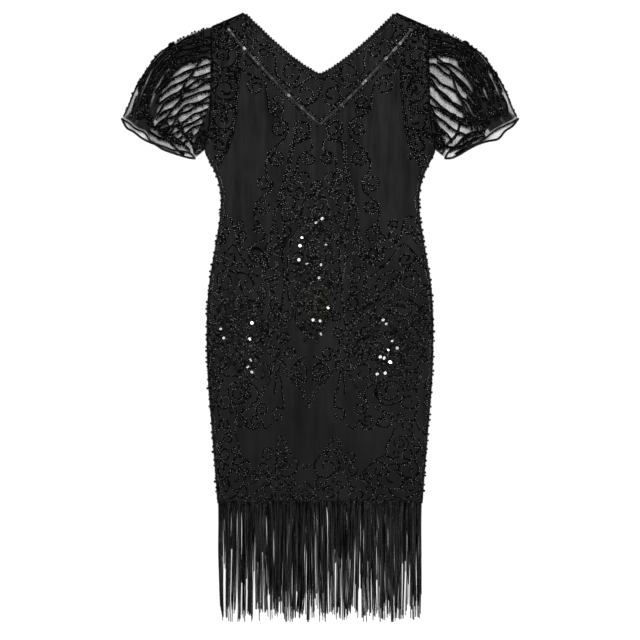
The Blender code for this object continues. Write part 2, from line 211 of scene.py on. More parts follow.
CHEVRON_PATH = (
    # x, y
    (0.0000, 0.3560),
    (0.0437, 0.3963),
    (0.0807, 0.4333),
    (0.1177, 0.4735),
    (0.1500, 0.5085),
    (0.1690, 0.5330),
)
TAPE = 0.3 * MM
TAPE_HALF_WIDTH = 2.9 * MM
TAPE_LIFT = 0.45 * MM
PLATE = (6.8 * MM, 4.6 * MM, 0.7 * MM)
PLATE_PITCH = 6.3 * MM
PLATE_LIFT = 1.15 * MM
PLATE_TILTS = (-0.34, 0.36, 0.30)

# ------------------------------------------------------------------ the beading chart
# Chart units run outwards from the middle and down from the shoulder points. Every line and scroll
# is worked on both halves, and the whole pattern leans a little towards the wearer's right.
CHART_UNIT = 1.85 * MM
AXIS_LEAN = 0.037
LEAN_FROM = 75
ROW_APART = 2.1 * MM
WIDE_ROW_APART = 4.0 * MM
CURL_ROW_APART = 1.9 * MM

# Rows that follow the garment's own edges, and how far in from the edge each lies.
NECK_THREADED_ROW = 7.4 * MM
NECK_BARE_ROW = 1.2 * MM
CHEVRON_ROWS_BESIDE = 5.6 * MM
SHOULDER_ROWS = (2.2, 7.5)  # mm
ARMHOLE_ROWS = (2.8, 7.6)  # mm
SIDE_SEAM_ROWS = (
    # top y, bottom y, mm
    (0.300, -0.338, 0.9),
    (0.300, -0.335, 6.2),
)

# Round beads of the front and of the back, and the larger single ones along the edges.
BEAD = 2.2 * MM
BEAD_SIZES = (0.86, 1.08)  # of a bead
POLISHED_BEADS_MORE = 0.14
BEAD_PITCH = 4.1 * MM
BEAD_APART = 1.9 * MM
BEAD_STRAY = 0.35 * MM
BEADS_PAST_EDGE = 0.6 * MM
BEAD_LIFT = 0.36  # of its own size
BODICE_BEADS_FROM_Y = 0.10
SKIRT_BEADS_FROM_Y = -0.10
SKIRT_BEADS_LESS = 0.12
EDGE_BEADS_WIDE = 4 * MM
BACK_BEAD = 1.45 * MM
BACK_BEAD_PITCH = 5.4 * MM
BACK_BEAD_SUNK = 0.75 * MM
BACK_BEAD_LEAST_Z = 0.85 * MM
PICOT = 3.8 * MM
SIDE_PICOTS_FROM_Y = -0.336
SIDE_PICOT_STEPS = (5.0, 17.0)  # mm
SIDE_PICOTS_STAND_OUT = (-0.4, 2.2)  # mm
SIDE_PICOT_SIZES = (0.9, 1.4)  # of a picot
NECK_PICOT_PITCH = 6.2 * MM
NECK_PICOT_SIZES = (0.75, 1.2)  # of a picot

# Shares of dull beads: in most rows, and in the second of two close rows. Then the polish, from
# 0 to 1, of dull and of polished beads, and how the glass answers to it over the dress.
DULL_SHARES = (0.26, 0.72)
DULL_BEADS_POLISH = (0.0, 0.45)
OTHER_BEADS_POLISH = (0.6, 1.0)
DULLEST_POLISH = 0.42
BRIGHTEST_POLISH = 1.10
POLISH_A_METRE_UP = 0.3
SHINE_RISES_TO = 180 * MM
ARMHOLE_POLISH_LESS = 0.14
DULL_FROM_X = 145 * MM
DULL_FROM_Y = 300 * MM

# The dark strips under the lines of beads: partly the thread they are sewn with, partly painted shade round
# the beads.
COUCHING_AND_SHADE_PAST_ROWS = 1.8 * MM
COUCHING_AND_SHADE_LEAST = 2.6 * MM
COUCHING_AND_SHADE_LIFT = 0.7 * MM
COUCHING_AND_SHADE_EDGE_LIFT = 0.25 * MM
COUCHING_AND_SHADE_STEP = 2.6 * MM
STRIPS_PART_FROM = 3.5 * MM
ARMHOLE_COUCHING_AND_SHADE_MORE = 1.7 * MM
ARMHOLE_FROM_X = 0.135
ARMHOLE_WITHIN_X = 0.03
ARMHOLE_FROM_Y = 0.29
ARMHOLE_WITHIN_Y = 0.04
SKIRT_COUCHING_AND_SHADE_LESS = 1.2 * MM
SKIRT_FROM_Y = -0.06
SKIRT_WITHIN = 0.06

LINES = (
    # name, rows, points
    ("yoke_scallop", 1, ((44, 48), (44, 58), (38, 69), (27, 75), (17, 70), (9, 65), (1, 69))),
    ("yoke_heart", 1, ((17, 70), (20, 79), (20, 88), (14, 93), (6, 90), (1, 80), (0, 72))),
    ("yoke_wave", 1, ((78, 12), (74, 22), (68, 28), (64, 27), (60, 32), (52, 33), (47, 40), (44, 48))),
    ("armhole_border", 2, (
        (86, 16), (84, 30), (82, 50), (82, 70), (83, 87), (86, 112), (91, 132), (98, 147), (103, 156),
    )),
    ("vine", 1, (
        (83, 50), (77, 57), (70, 62), (61, 65), (54, 72), (52, 84), (50, 98), (44, 103), (36, 106),
        (31, 114), (32, 123), (40, 132), (48, 139), (52, 150), (51, 160), (45, 168), (46, 178),
        (54, 184), (61, 192), (62, 203), (56, 213), (50, 221),
    )),
    ("stem_outer", 2, (
        (26, 128), (28, 146), (32, 164), (37, 184), (41, 200), (42, 217), (47, 232), (50, 248),
        (51, 264), (50, 280),
    )),
    ("stem_inner", 1, (
        (20, 108), (23, 126), (27, 148), (31, 168), (34, 184), (33, 200), (30, 222), (31, 246),
        (29, 266), (30, 288), (34, 317),
    )),
    ("apex_tail", 1, ((9, 125), (5, 130), (7, 138), (14, 141), (19, 148), (20, 158))),
    ("arch", 1, (
        (0, 184), (6, 183), (11, 188), (14, 200), (17, 214), (22, 225), (30, 230), (37, 225), (38, 215),
    )),
    ("arch_foot", 1, ((22, 225), (25, 240), (26, 262), (23, 284), (17, 302), (9, 318), (1, 326))),
    ("hip_arch", 1, (
        (99, 213), (95, 205), (90, 204), (86, 208), (84, 215), (82, 224), (78, 231), (72, 237),
    )),
    ("hip_swag", 1, ((50, 221), (53, 227), (59, 230), (65, 234), (72, 237))),
    ("hip_scallop", 1, (
        (103, 249), (98, 245), (94, 240), (90, 235), (86, 232), (81, 235), (78, 240), (74, 245),
        (69, 252), (65, 257), (60, 261), (54, 264), (50, 260), (48, 252), (47, 244), (43, 234),
    )),
    ("hip_wave", 1, (
        (107, 257), (102, 252), (98, 248), (92, 254), (88, 258), (82, 260), (76, 259), (69, 261),
        (64, 265), (61, 270), (61, 276), (65, 279), (70, 275), (71, 270), (67, 268),
    )),
    ("hip_drop", 1, ((76, 266), (79, 272), (83, 279), (88, 286), (94, 293))),
    ("hip_fork", 1, ((77, 270), (74, 277), (69, 283), (62, 288), (55, 286), (48, 292))),
    ("hip_side", 1, ((108, 290), (101, 296), (96, 308), (101, 322), (108, 330))),
    ("skirt_swag", 1, ((101, 352), (90, 362), (76, 363), (62, 372))),
    ("skirt_drop", 2, ((38, 350), (41, 364), (47, 377), (54, 387), (62, 393), (72, 399))),
    ("skirt_point", 2, ((27, 344), (25, 356), (19, 366), (12, 372), (6, 379), (3, 387), (0, 394))),
    ("skirt_scroll", 1, ((0, 366), (6, 368), (12, 363), (14, 354), (10, 346), (3, 344))),
    ("skirt_stem", 1, ((30, 356), (29, 368), (27, 380), (25, 396))),
    ("skirt_thread", 1, ((33, 358), (34, 370), (35, 382))),
    ("skirt_spray", 1, ((63, 372), (66, 388), (71, 399), (78, 402))),
    ("skirt_zigzag", 1, ((70, 400), (67, 409), (60, 416), (53, 415), (49, 407), (44, 415), (37, 411))),
    ("skirt_side", 1, ((104, 356), (98, 372), (101, 388), (97, 404), (101, 420))),
    ("hem_stalk", 1, ((80, 414), (75, 430), (72, 446))),
    ("hem_wave", 1, ((99, 444), (86, 452), (75, 443), (64, 447), (55, 458), (47, 466))),
    ("hem_swag", 1, ((103, 474), (92, 484), (82, 485), (72, 474), (60, 471), (48, 464))),
    ("hem_loop", 1, ((66, 474), (58, 486), (45, 491), (34, 489), (31, 480), (38, 472), (48, 474))),
    ("hem_peak", 2, (
        (-1, 455), (9, 448), (18, 438), (28, 424), (32, 436), (31, 448), (35, 456), (41, 466), (46, 478),
    )),
    ("hem_under_peak", 1, ((29, 441), (32, 452), (29, 463), (24, 472), (15, 478), (6, 474), (0, 468))),
    ("hem_side", 1, ((104, 432), (97, 444), (100, 458), (94, 470))),
)

BRANCHES = (
    # line, centre x, centre y, turns, 1 with the line's run or -1 against it
    ("yoke_scallop", 30, 60, 1.35, 1),
    ("yoke_heart", 12, 83, 0.9, -1),
    ("yoke_wave", 56, 39, 1.2, 1),
    ("yoke_wave", 74, 14, 1.0, -1),
    ("armhole_border", 72, 49, 1.1, -1),
    ("armhole_border", 97, 44, 1.3, 1),
    ("armhole_border", 95, 77, 1.5, 1),
    ("armhole_border", 97, 107, 1.4, 1),
    ("armhole_border", 99, 132, 1.1, 1),
    ("vine", 64, 74, 1.5, -1),
    ("vine", 43, 89, 1.4, 1),
    ("vine", 39, 98, 1.0, -1),
    ("vine", 39, 117, 1.6, -1),
    ("vine", 41, 145, 1.6, 1),
    ("vine", 54, 170, 1.6, 1),
    ("vine", 53, 194, 1.5, 1),
    ("vine", 59, 217, 1.4, -1),
    ("stem_outer", 20, 116, 0.8, 1),
    ("stem_outer", 23, 166, 1.2, -1),
    ("stem_outer", 28, 188, 1.3, 1),
    ("stem_inner", 41, 250, 1.2, -1),
    ("stem_inner", 22, 262, 1.1, 1),
    ("stem_inner", 38, 290, 1.3, 1),
    ("apex_tail", 15, 117, 1.5, -1),
    ("apex_tail", 8, 146, 1.5, 1),
    ("apex_tail", 14, 164, 1.2, 1),
    ("arch", 5, 192, 1.0, -1),
    ("arch", 30, 219, 1.2, -1),
    ("arch_foot", 17, 244, 1.2, 1),
    ("arch_foot", 14, 300, 1.3, -1),
    ("arch_foot", 6, 312, 1.1, 1),
    ("hip_arch", 76, 223, 1.4, 1),
    ("hip_swag", 59, 241, 1.5, 1),
    ("hip_scallop", 61, 243, 1.5, 1),
    ("hip_scallop", 88, 246, 1.3, -1),
    ("hip_wave", 92, 268, 1.5, -1),
    ("hip_fork", 53, 280, 1.4, 1),
    ("hip_side", 88, 296, 1.4, -1),
    ("skirt_swag", 76, 379, 2.2, 1),
    ("skirt_swag", 97, 366, 1.0, -1),
    ("skirt_drop", 51, 360, 1.2, -1),
    ("skirt_drop", 65, 380, 1.2, -1),
    ("skirt_point", 12, 358, 1.7, 1),
    ("skirt_point", 34, 354, 1.1, -1),
    ("skirt_stem", 30, 402, 1.0, -1),
    ("skirt_spray", 70, 408, 1.2, 1),
    ("skirt_zigzag", 56, 406, 1.2, -1),
    ("skirt_side", 92, 388, 1.2, 1),
    ("skirt_side", 92, 412, 1.2, -1),
    ("hem_wave", 79, 465, 1.6, 1),
    ("hem_wave", 67, 457, 1.1, -1),
    ("hem_wave", 92, 440, 1.0, 1),
    ("hem_swag", 92, 473, 1.5, -1),
    ("hem_swag", 58, 464, 1.0, 1),
    ("hem_loop", 49, 482, 1.3, 1),
    ("hem_peak", 29, 438, 1.2, 1),
    ("hem_peak", 20, 454, 1.2, -1),
    ("hem_peak", 41, 464, 1.2, -1),
    ("hem_under_peak", 17, 468, 1.4, 1),
    ("hem_side", 90, 456, 1.2, 1),
)

# Places where scrolls fill whatever room the lines leave, as ellipses of the chart.
FILLED = (
    # centre x, centre y, half width, half height, room beside each scroll in mm
    (98, 80, 14, 72, 4.2),
    (94, 24, 13, 12, 4.2),
    (76, 18, 8, 12, 4.2),
    (60, 36, 12, 8, 4.6),
    (26, 60, 10, 10, 5.0),
    (86, 240, 30, 30, 7.0),
    (82, 300, 36, 42, 5.0),
    (84, 352, 36, 36, 5.4),
    (12, 186, 20, 26, 4.8),
    (14, 250, 24, 60, 5.2),
    (44, 262, 12, 44, 5.6),
    (40, 318, 14, 24, 5.0),
    (66, 396, 18, 20, 6.0),
    (94, 402, 18, 44, 6.0),
    (90, 462, 22, 34, 5.4),
    (60, 476, 26, 16, 5.6),
    (28, 458, 18, 26, 5.4),
    (8, 480, 14, 10, 5.4),
    (20, 350, 18, 12, 5.4),
)
CURL_LARGEST = 9.5 * MM
CURL_LEAST = 3.6 * MM
CURL_TRIALS = 5200

SEQUIN_SIZES = (4.6, 7.6)  # mm
BRIGHT_SEQUIN_SIZES = (4.4, 6.6)  # mm
SEQUIN_HEIGHTS = (2.6, 3.8)  # mm above the cloth
SEQUIN_TIP = 0.30
BRIGHT_SEQUIN_TIP = 0.025
SEQUIN_BEAD = 1.9 * MM
SEQUIN_BEAD_LIFT = 0.9 * MM
SEQUINS_APART = 4.6 * MM
GLINT_ANGLE = math.radians(9)
OLIVE_TINT_AT = (-10 * MM, 28 * MM)
OLIVE_TINT_RADIUS = 36 * MM
SEQUIN_FIELDS = (
    # side, or 0 for the middle, then centre x, centre y, half width, half height, sequins
    (0, 0, 268, 21, 66, 170),
    (1, 82, 320, 27, 40, 150),
    (-1, 82, 320, 27, 40, 150),
)
BRIGHT_SEQUINS = (
    # x to the wearer's left, y
    (2, 206), (-4, 210), (-18, 225), (-20, 233), (6, 232), (-21, 247), (-13, 251), (1, 252),
    (-1, 265), (8, 295), (-7, 307), (0, 308), (1, 321), (-99, 316), (-68, 310), (-96, 325),
    (-70, 326), (-69, 333), (-69, 347), (-64, 348), (-72, 354), (-68, 359), (63, 307), (66, 311),
    (84, 316), (72, 328), (77, 335), (68, 337), (60, 344), (64, 345), (70, 349), (57, 361),
    (65, 360),
)

# Beaded lines in chart units: the right sleeve's, the left sleeve's, and those of both on the
# gathers and on the lower layer.
RIGHT_SLEEVE_LINES = (
    ((107, 47), (114, 45), (122, 48), (131, 49), (140, 54), (147, 61), (154, 69), (160, 75), (165, 81)),
    ((107, 51), (115, 53), (124, 56), (132, 59), (142, 63), (150, 69), (157, 76), (162, 82)),
    ((117, 48), (125, 56), (130, 65), (134, 71), (138, 77), (145, 85)),
    ((108, 60), (117, 63), (124, 65), (130, 64), (138, 70), (148, 74), (155, 80), (161, 86), (164, 93)),
    ((108, 66), (117, 67), (124, 69), (131, 74), (139, 79), (148, 83), (156, 88), (163, 93)),
    ((108, 69), (116, 71), (124, 75), (132, 79), (140, 83), (148, 86), (154, 91), (160, 98), (164, 104)),
    ((108, 77), (116, 79), (124, 82), (132, 85), (138, 88), (142, 93), (150, 97), (158, 101), (164, 106)),
    ((108, 83), (115, 87), (124, 90), (133, 93), (140, 98), (145, 103), (152, 108), (159, 111), (164, 116)),
    ((109, 89), (117, 92), (126, 95), (135, 100), (142, 104), (146, 110), (153, 115), (162, 120)),
    ((112, 96), (120, 100), (129, 104), (137, 109), (144, 114), (149, 120), (154, 125)),
    ((114, 103), (122, 107), (131, 112), (139, 117), (147, 122), (152, 128)),
    ((116, 110), (123, 114), (132, 119), (139, 125), (145, 130)),
    ((119, 117), (126, 123), (133, 128), (138, 134)),
    ((138, 83), (142, 91), (148, 97), (154, 105), (160, 111), (166, 117)),
    ((144, 113), (137, 120), (131, 126), (127, 132)),
    ((160, 117), (157, 120), (152, 119), (150, 114), (153, 110), (158, 111), (160, 115)),
    ((172, 118), (164, 123), (155, 127), (148, 128), (138, 133)),
    ((170, 112), (162, 117), (154, 121), (146, 125)),
)
LEFT_SLEEVE_LINES = (
    (
        (110, 45), (114, 43), (118, 46), (123, 50), (130, 53), (136, 56), (143, 61), (148, 66),
        (152, 71), (156, 80),
    ),
    (
        (106, 52), (113, 52), (118, 55), (125, 60), (132, 65), (138, 69), (144, 73), (149, 78),
        (154, 84), (164, 104),
    ),
    (
        (106, 60), (111, 62), (117, 67), (123, 73), (130, 76), (136, 79), (142, 85), (148, 90),
        (154, 96), (164, 110),
    ),
    ((136, 79), (139, 85), (142, 92), (146, 101), (150, 110), (152, 118)),
    (
        (107, 71), (111, 72), (117, 78), (123, 84), (130, 89), (136, 92), (143, 97), (150, 104),
        (156, 110), (162, 115),
    ),
    (
        (106, 80), (112, 85), (116, 89), (121, 95), (127, 99), (133, 103), (139, 106), (146, 108),
        (154, 111), (158, 117),
    ),
    ((108, 90), (114, 95), (121, 99), (128, 103), (135, 107), (142, 111), (148, 114)),
    ((109, 93), (112, 98), (118, 104), (123, 109), (129, 114), (136, 118), (143, 122), (149, 126)),
    ((111, 105), (116, 112), (122, 117), (128, 124), (132, 129)),
    ((115, 96), (122, 97), (128, 100), (136, 103)),
    (
        (107, 47), (113, 44), (121, 42), (130, 44), (136, 46), (141, 51), (146, 57), (151, 64),
        (155, 71), (163, 88),
    ),
    ((137, 70), (142, 75), (146, 80), (151, 84), (155, 90), (159, 97), (163, 105)),
    ((152, 73), (154, 79), (158, 87), (161, 95), (165, 104)),
    ((148, 52), (153, 60), (158, 68), (162, 76)),
    ((142, 45), (148, 55), (155, 67), (161, 79), (167, 91), (170, 103)),
    ((146, 84), (150, 89), (155, 97), (159, 104), (164, 112)),
    ((143, 90), (149, 98), (155, 106), (161, 114), (166, 119)),
    ((150, 92), (155, 101), (160, 109), (165, 116)),
    ((143, 101), (149, 108), (156, 116), (162, 121)),
    ((135, 134), (142, 127), (150, 121), (158, 120), (165, 121)),
    ((118, 130), (130, 135), (140, 134), (148, 129), (156, 126), (166, 124)),
    ((139, 49), (145, 60), (151, 71), (158, 83)),
    ((130, 60), (133, 69), (140, 86), (145, 101), (149, 115)),
    ((117, 49), (128, 57), (140, 67), (149, 77), (156, 88)),
    ((109, 66), (118, 76), (128, 86), (138, 95), (145, 104)),
)
GATHERED_LINES = (
    ((109, 25), (122, 29), (136, 33), (148, 41), (159, 51), (168, 64), (174, 78), (179, 91)),
    ((109, 32), (124, 35), (140, 39), (152, 48), (162, 60), (169, 73), (173, 87), (175, 101)),
    ((109, 38), (124, 40), (140, 45), (152, 54), (160, 65), (166, 77), (170, 91), (172, 105)),
    ((124, 23), (138, 29), (151, 37), (162, 47), (171, 60), (177, 73), (182, 86)),
    ((162, 46), (167, 60), (172, 72), (177, 84), (181, 96), (184, 104)),
    ((174, 63), (178, 70), (181, 78)),
    ((182, 83), (185, 90), (187, 98), (188, 104)),
)
LOWER_LINES = (
    ((143, 106), (137, 118), (129, 130), (124, 138)),
    ((160, 118), (148, 124), (138, 130), (130, 138)),
    ((168, 112), (156, 122), (146, 134), (134, 142)),
)
GATHERED_AREAS = (
    # name, rows of: share of the way to the cuff, first share across, last share across on the right
    # and on the left sleeve, gathers' own coordinate at the two, which thins the net near 0 and 1
    ("gathers", (
        (0.00, 0.002, 0.24, 0.22, 0.22, 1.0),
        (0.10, 0.008, 0.24, 0.20, 0.10, 1.0),
        (0.22, 0.012, 0.23, 0.18, 0.08, 1.0),
        (0.36, 0.022, 0.24, 0.19, 0.08, 1.0),
        (0.48, 0.030, 0.26, 0.24, 0.04, 1.0),
        (0.60, 0.036, 0.28, 0.28, 0.0, 1.0),
        (0.70, 0.056, 0.32, 0.32, 0.0, 1.0),
        (0.80, 0.062, 0.36, 0.37, 0.0, 1.0),
        (0.90, 0.060, 0.37, 0.39, 0.0, 1.0),
        (1.00, 0.030, 0.41, 0.40, 0.0, 1.0),
    )),
    ("underarm", (
        (0.00, 0.61, 0.998, 0.998, 0.0, 0.7),
        (0.06, 0.66, 0.998, 0.998, 0.0, 0.7),
        (0.12, 0.71, 0.998, 0.998, 0.0, 0.7),
        (0.20, 0.76, 0.998, 0.998, 0.0, 0.7),
        (0.32, 0.80, 0.998, 0.998, 0.0, 0.8),
        (0.52, 0.85, 0.998, 0.998, 0.0, 0.8),
        (0.76, 0.89, 0.998, 0.998, 0.0, 0.9),
    )),
)
SLEEVE_CURLS = (
    # first and last share across, first and last share of the way to the cuff, curls
    (0.02, 0.20, 0.03, 0.40, 18),
    (0.12, 0.30, 0.45, 0.86, 7),
    (0.10, 0.36, 0.86, 0.91, 9),
    (0.76, 0.97, 0.05, 0.60, 12),
)
SHORTEST_CURL = 12  # points that lie on the sleeve
SLEEVE_CURL_RADII = (3.5, 8.0)  # mm
SLEEVE_CURL_PITCH = 5.0 * MM
SLEEVE_BEAD_PITCH = 4.6 * MM
SLEEVE_BEAD_SIZES = (3.6, 5.4)  # mm
SLEEVE_BEAD_DROP = (1.5, 4.4)  # mm
SLEEVE_OUTLINE_STEPS = (3.2, 10.0)  # mm
SLEEVE_OUTLINE_STANDS_OUT = (-0.9, 2.0)  # mm
SLEEVE_LINE_LIFT = 0.9 * MM
LOWER_LINE_LIFT = 1.2 * MM
THREAD_BELOW_BEADS = 0.3 * MM
# The sleeves' threads are drawn thicker than thread: the extra width is painted shade of the gathers beside
# each line.
SLEEVE_THREAD_AND_SHADE_RADIUS = 2.0 * MM
SEAM_RADIUS = 1.5 * MM
LEAST_GAP_TO_FLOOR = 0.1 * MM

# The sleeves' net: its cells and its thread, then how wide the thread looks where the net is single and how
# much wider in soft patches, partly where it lies double and partly as painted shade on the lower layer, in
# shares of the thread.
NET_CELL = 1.3 * MM
NET_THREAD = 0.17 * MM
NET_SINGLE = 0.55
NET_DOUBLES_AND_SHADE = 0.6

# How the gathers' cover grows from their edges, and how it lessens towards one place down the sleeve.
GATHERS_THICKEN = 5.0
GATHERS_THICKEST = 0.34
GATHERS_PART_AT = 0.62
GATHERS_CLOSE = 0.9

# Cords round the cuffs and along the neck, and how far out past the cloth's edge they lie.
HEM_CORD_RADIUS = 1.9 * MM
HEM_CORD_OUT = 1.2 * MM
NECK_CORD_RADIUS = 1.0 * MM
NECK_CORD_OUT = 1.2 * MM
NECK_CORD_SHORT_BY = 3.5 * MM
NECK_PICOTS_OUT = 1.5 * MM
NECK_CORDS = (
    # panel, drop below the front's neck, height
    ("front", 0.0, 3.75 * MM),
    ("back", BACK_NECK_DROP, 1.45 * MM),
)

STRANDS = 230
STRAND_SIDES = 4
STRAND_RINGS = 22
STRAND_LEAST_Z = 0.15 * MM
LONGEST_STRAND = LENGTH / 2 + HEM_Y
FRONT_LONG_ONES = 0.09
BACK_LONG_ONES = 0.10
HEADING_CELLS = 60
HEADING_DEPTH = 7 * MM

# How strands part, lean, bow and bend; shares are of the longest strand.
PARTED_WITHIN = 0.07
SETTLED_WITHIN = 0.05
STRAND_TAPER = 0.2
SWAY = 3.2 * MM
STRAND_BOW = 0.8 * MM
STRAND_WANDER = (
    # bends down a strand, how far
    (1.1, 0.40 * MM),
    (2.6, 0.16 * MM),
)
FRINGE_ROWS = (
    # side, half width, strand, fewest strands a group and one past the most, opening between groups
    # in strands, root, middle and tip height in mm, seed
    ("front", 0.1870, 1.65 * MM, 3, 10, 2.0, (5.3, 3.3, 2.6), 5),
    ("back", 0.1865, 1.7 * MM, 4, 14, 1.2, (1.3, 1.2, 1.1), 11),
)


# ------------------------------------------------------------------ curves and surfaces
def smooth(share):
    """0 to 1 with level ends."""
    s = np.clip(share, 0.0, 1.0)
    return s * s * (3 - 2 * s)


def through(table, at):
    """The table's later columns at `at`, on smooth curves through its rows."""
    rows = np.array(table, float)
    xs, ys = rows[:, 0], rows[:, 1:]
    slopes = np.gradient(ys, xs, axis=0)
    at = np.clip(np.atleast_1d(at), xs[0], xs[-1])
    i = np.clip(np.searchsorted(xs, at) - 1, 0, len(xs) - 2)
    step = (xs[i + 1] - xs[i])[:, None]
    t = ((at - xs[i]) / (xs[i + 1] - xs[i]))[:, None]
    start = ys[i] * (1 + 2 * t) * (1 - t) ** 2 + slopes[i] * step * t * (1 - t) ** 2
    end = ys[i + 1] * (3 - 2 * t) * t**2 + slopes[i + 1] * step * (t - 1) * t**2
    return start + end


def along_path(points, shares):
    """Points at these shares of a smooth path's length."""
    points = np.array(points, float)
    chords = np.linalg.norm(np.diff(points, axis=0), axis=1)
    at = np.concatenate([[0.0], np.cumsum(chords)]) / chords.sum()
    return through(np.column_stack([at, points]), shares)


def path_length(points):
    return np.linalg.norm(np.diff(points, axis=0), axis=1).sum()


def spaced(points, pitch, first=0.5):
    """Points at an even pitch along a finely drawn line."""
    points = np.asarray(points, float)
    steps = np.linalg.norm(np.diff(points, axis=0), axis=1)
    at = np.concatenate([[0.0], np.cumsum(steps)])
    wanted = np.arange(first * pitch, at[-1], pitch)
    return np.column_stack([np.interp(wanted, at, column) for column in points.T])


def beside(path, distance):
    """A plan path moved to its left by this distance."""
    run = np.gradient(path, axis=0)
    run /= np.linalg.norm(run, axis=1)[:, None] + 1e-12
    return path + distance * np.column_stack([-run[:, 1], run[:, 0]])


def half_width(y):
    return through(HALF_WIDTHS, np.ravel(y))[:, 0].reshape(np.shape(y))


def neck_edge_y(x):
    """The V neck's edge."""
    share = np.minimum(np.abs(x) / SHOULDER_POINT_X, 1.0)
    return NECK_BOTTOM_Y + (SHOULDER_POINT_Y - NECK_BOTTOM_Y) * share**NECK_CURVE


def top_edge_y(x):
    """The V neck's edge, and past the shoulder points the shoulder seams."""
    beyond = np.maximum(np.abs(x) - SHOULDER_POINT_X, 0.0)
    return neck_edge_y(x) - SHOULDER_SLOPE * beyond


def from_neck(x, y):
    """Roughly how far a point lies from the neck's edge."""
    down = np.maximum(neck_edge_y(x) - y, 0.0) * 0.75
    return np.hypot(down, np.maximum(np.abs(x) - SHOULDER_POINT_X, 0.0))


def eased(distance, reach, least):
    """From `least` at an edge to 1 at `reach` from it."""
    return least + (1 - least) * smooth(distance / reach)


def skirt_share(y):
    """0 down to the hips and 1 on the skirt."""
    return smooth((SKIRT_FROM_Y - y) / SKIRT_WITHIN)


def ridges(table, x, y):
    """Height of a table's soft ridges and troughs over points of the front."""
    height = np.zeros(np.shape(x))
    for foot_x, low_y, high_y, lean, spread, most in table:
        share = np.clip((y - low_y) / (high_y - low_y), 0.0, 1.0)
        ridge = np.exp(-(((x - foot_x - lean * share) / spread) ** 2))
        height = height + most * ridge * np.sin(math.pi * share) ** 0.8
    return height


def edge_rise(x, y):
    """0 at a sewn edge and 1 inside its roll."""
    inside = np.clip((half_width(y) - np.abs(x)) / ROLL, 0.0, 1.0)
    below = np.clip((top_edge_y(x) - y) / ROLL, 0.0, 1.0)
    side = np.sqrt(1 - (1 - inside) ** 2)
    shoulder = np.sqrt(1 - (1 - below) ** 2)
    loose = smooth((y - UNDERARM_Y) / ARMHOLE_OPENS)
    side = side * (1 - loose) + (0.86 + 0.14 * side) * loose
    is_shoulder = smooth((np.abs(x) - SHOULDER_POINT_X) / (2 * ROLL))
    return side * (shoulder * is_shoulder + (0.86 + 0.14 * shoulder) * (1 - is_shoulder))


def front_height(x, y):
    """The front's upper side."""
    low = SEAM_Z + SEAM_GAP / 2
    full = FRONT_TOP - low
    neck = eased(from_neck(x, y), NECK_FALL, (NECK_EDGE_TOP - low) / full)
    hem = eased(y - HEM_Y, HEM_FALL, (HEM_EDGE_TOP - low) / full)
    folds = (ridges(FOLDS, x, y) + ridges(CREASES, x, y)) * neck
    return low + edge_rise(x, y) * (full * np.minimum(neck, hem) + folds)


def back_height(x, y):
    """The back's upper side, which turns up to the sewn edges."""
    folds = 0.25 * (ridges(FOLDS, x, y) + ridges(CREASES, x, y))
    return (SEAM_Z - SEAM_GAP / 2) * (1 - edge_rise(x, y)) + BACK_WALL + folds * edge_rise(x, y)


def cuff_outward():
    """The plan direction in which the +X cuff faces."""
    across = np.subtract(SLEEVE_UPPER_FOLD[-1], SLEEVE_LOWER_FOLD[-1])
    return np.array([across[1], -across[0]]) / np.linalg.norm(across)


def sleeve_plan(across, along, layer, side):
    """Plan points of a sleeve laid at +X. across runs from the upper fold (0) to the lower (1)."""
    across, along = np.broadcast_arrays(np.asarray(across, float), np.asarray(along, float))
    upper = along_path(SLEEVE_UPPER_FOLD, along)
    lower = along_path(SLEEVE_LOWER_FOLD, along)
    shoulder, underarm = np.array(SLEEVE_UPPER_FOLD[0]), np.array(SLEEVE_LOWER_FOLD[0])
    straight = shoulder + across[:, None] * (underarm - shoulder)
    seam_x = half_width(straight[:, 1]) + SEAM_GAP
    point = upper + across[:, None] * (lower - upper)
    point[:, 0] += (seam_x - straight[:, 0]) * (1 - along)
    column = (2 if side > 0 else 0) + (1 if layer == "front" else 0)
    reach = through(CUFF_REACHES, across)[:, column]
    return point + (reach * along**3)[:, None] * cuff_outward()


def sleeve_front(across, along, side):
    """Points on the upper layer of a sleeve laid at +X."""
    fold_z, top_z, gathers = through(SLEEVE_HEIGHTS, along).T
    dome = (1 - np.abs(2 * across - 1) ** 2.6) ** 0.55
    gather = np.sin(math.tau * GATHERS * across + 0.8 + 0.9 * np.sin(3 * along))
    gather = gather + 0.35 * np.sin(math.tau * 19 * across + 2.0 + 2.0 * along)
    gather = gather * np.sin(math.pi * np.clip(across, 0, 1)) ** 0.5
    z = fold_z + (top_z - fold_z) * dome + gathers * gather
    return np.column_stack([sleeve_plan(across, along, "front", side), z])


def sleeve_back(across, along, side):
    """Points on the lower layer of a sleeve laid at +X, on the ground away from its folds."""
    fold_z = through(SLEEVE_HEIGHTS, along)[:, 0]
    from_fold = np.clip(np.minimum(across, 1 - across) / FOLD_TURN_SHARE, 0.0, 1.0)
    z = fold_z * (1 - np.sqrt(1 - (1 - from_fold) ** 2)) + 0.5 * MM
    return np.column_stack([sleeve_plan(across, along, "back", side), np.minimum(z, fold_z)])


# ------------------------------------------------------------------ the beading, worked out
def leaned(points, side):
    """Places of the pattern's half (x outwards, metres) on the dress, on this side."""
    x, y = points.T
    down = (SHOULDER_POINT_Y - y) / CHART_UNIT
    lean = AXIS_LEAN * np.maximum(down - LEAN_FROM, 0.0) * CHART_UNIT
    share = np.clip(x / half_width(np.clip(y, HEM_Y, SHOULDER_POINT_Y)), 0.0, 1.0)
    return np.column_stack([side * x - lean * (1 - share**2), y])


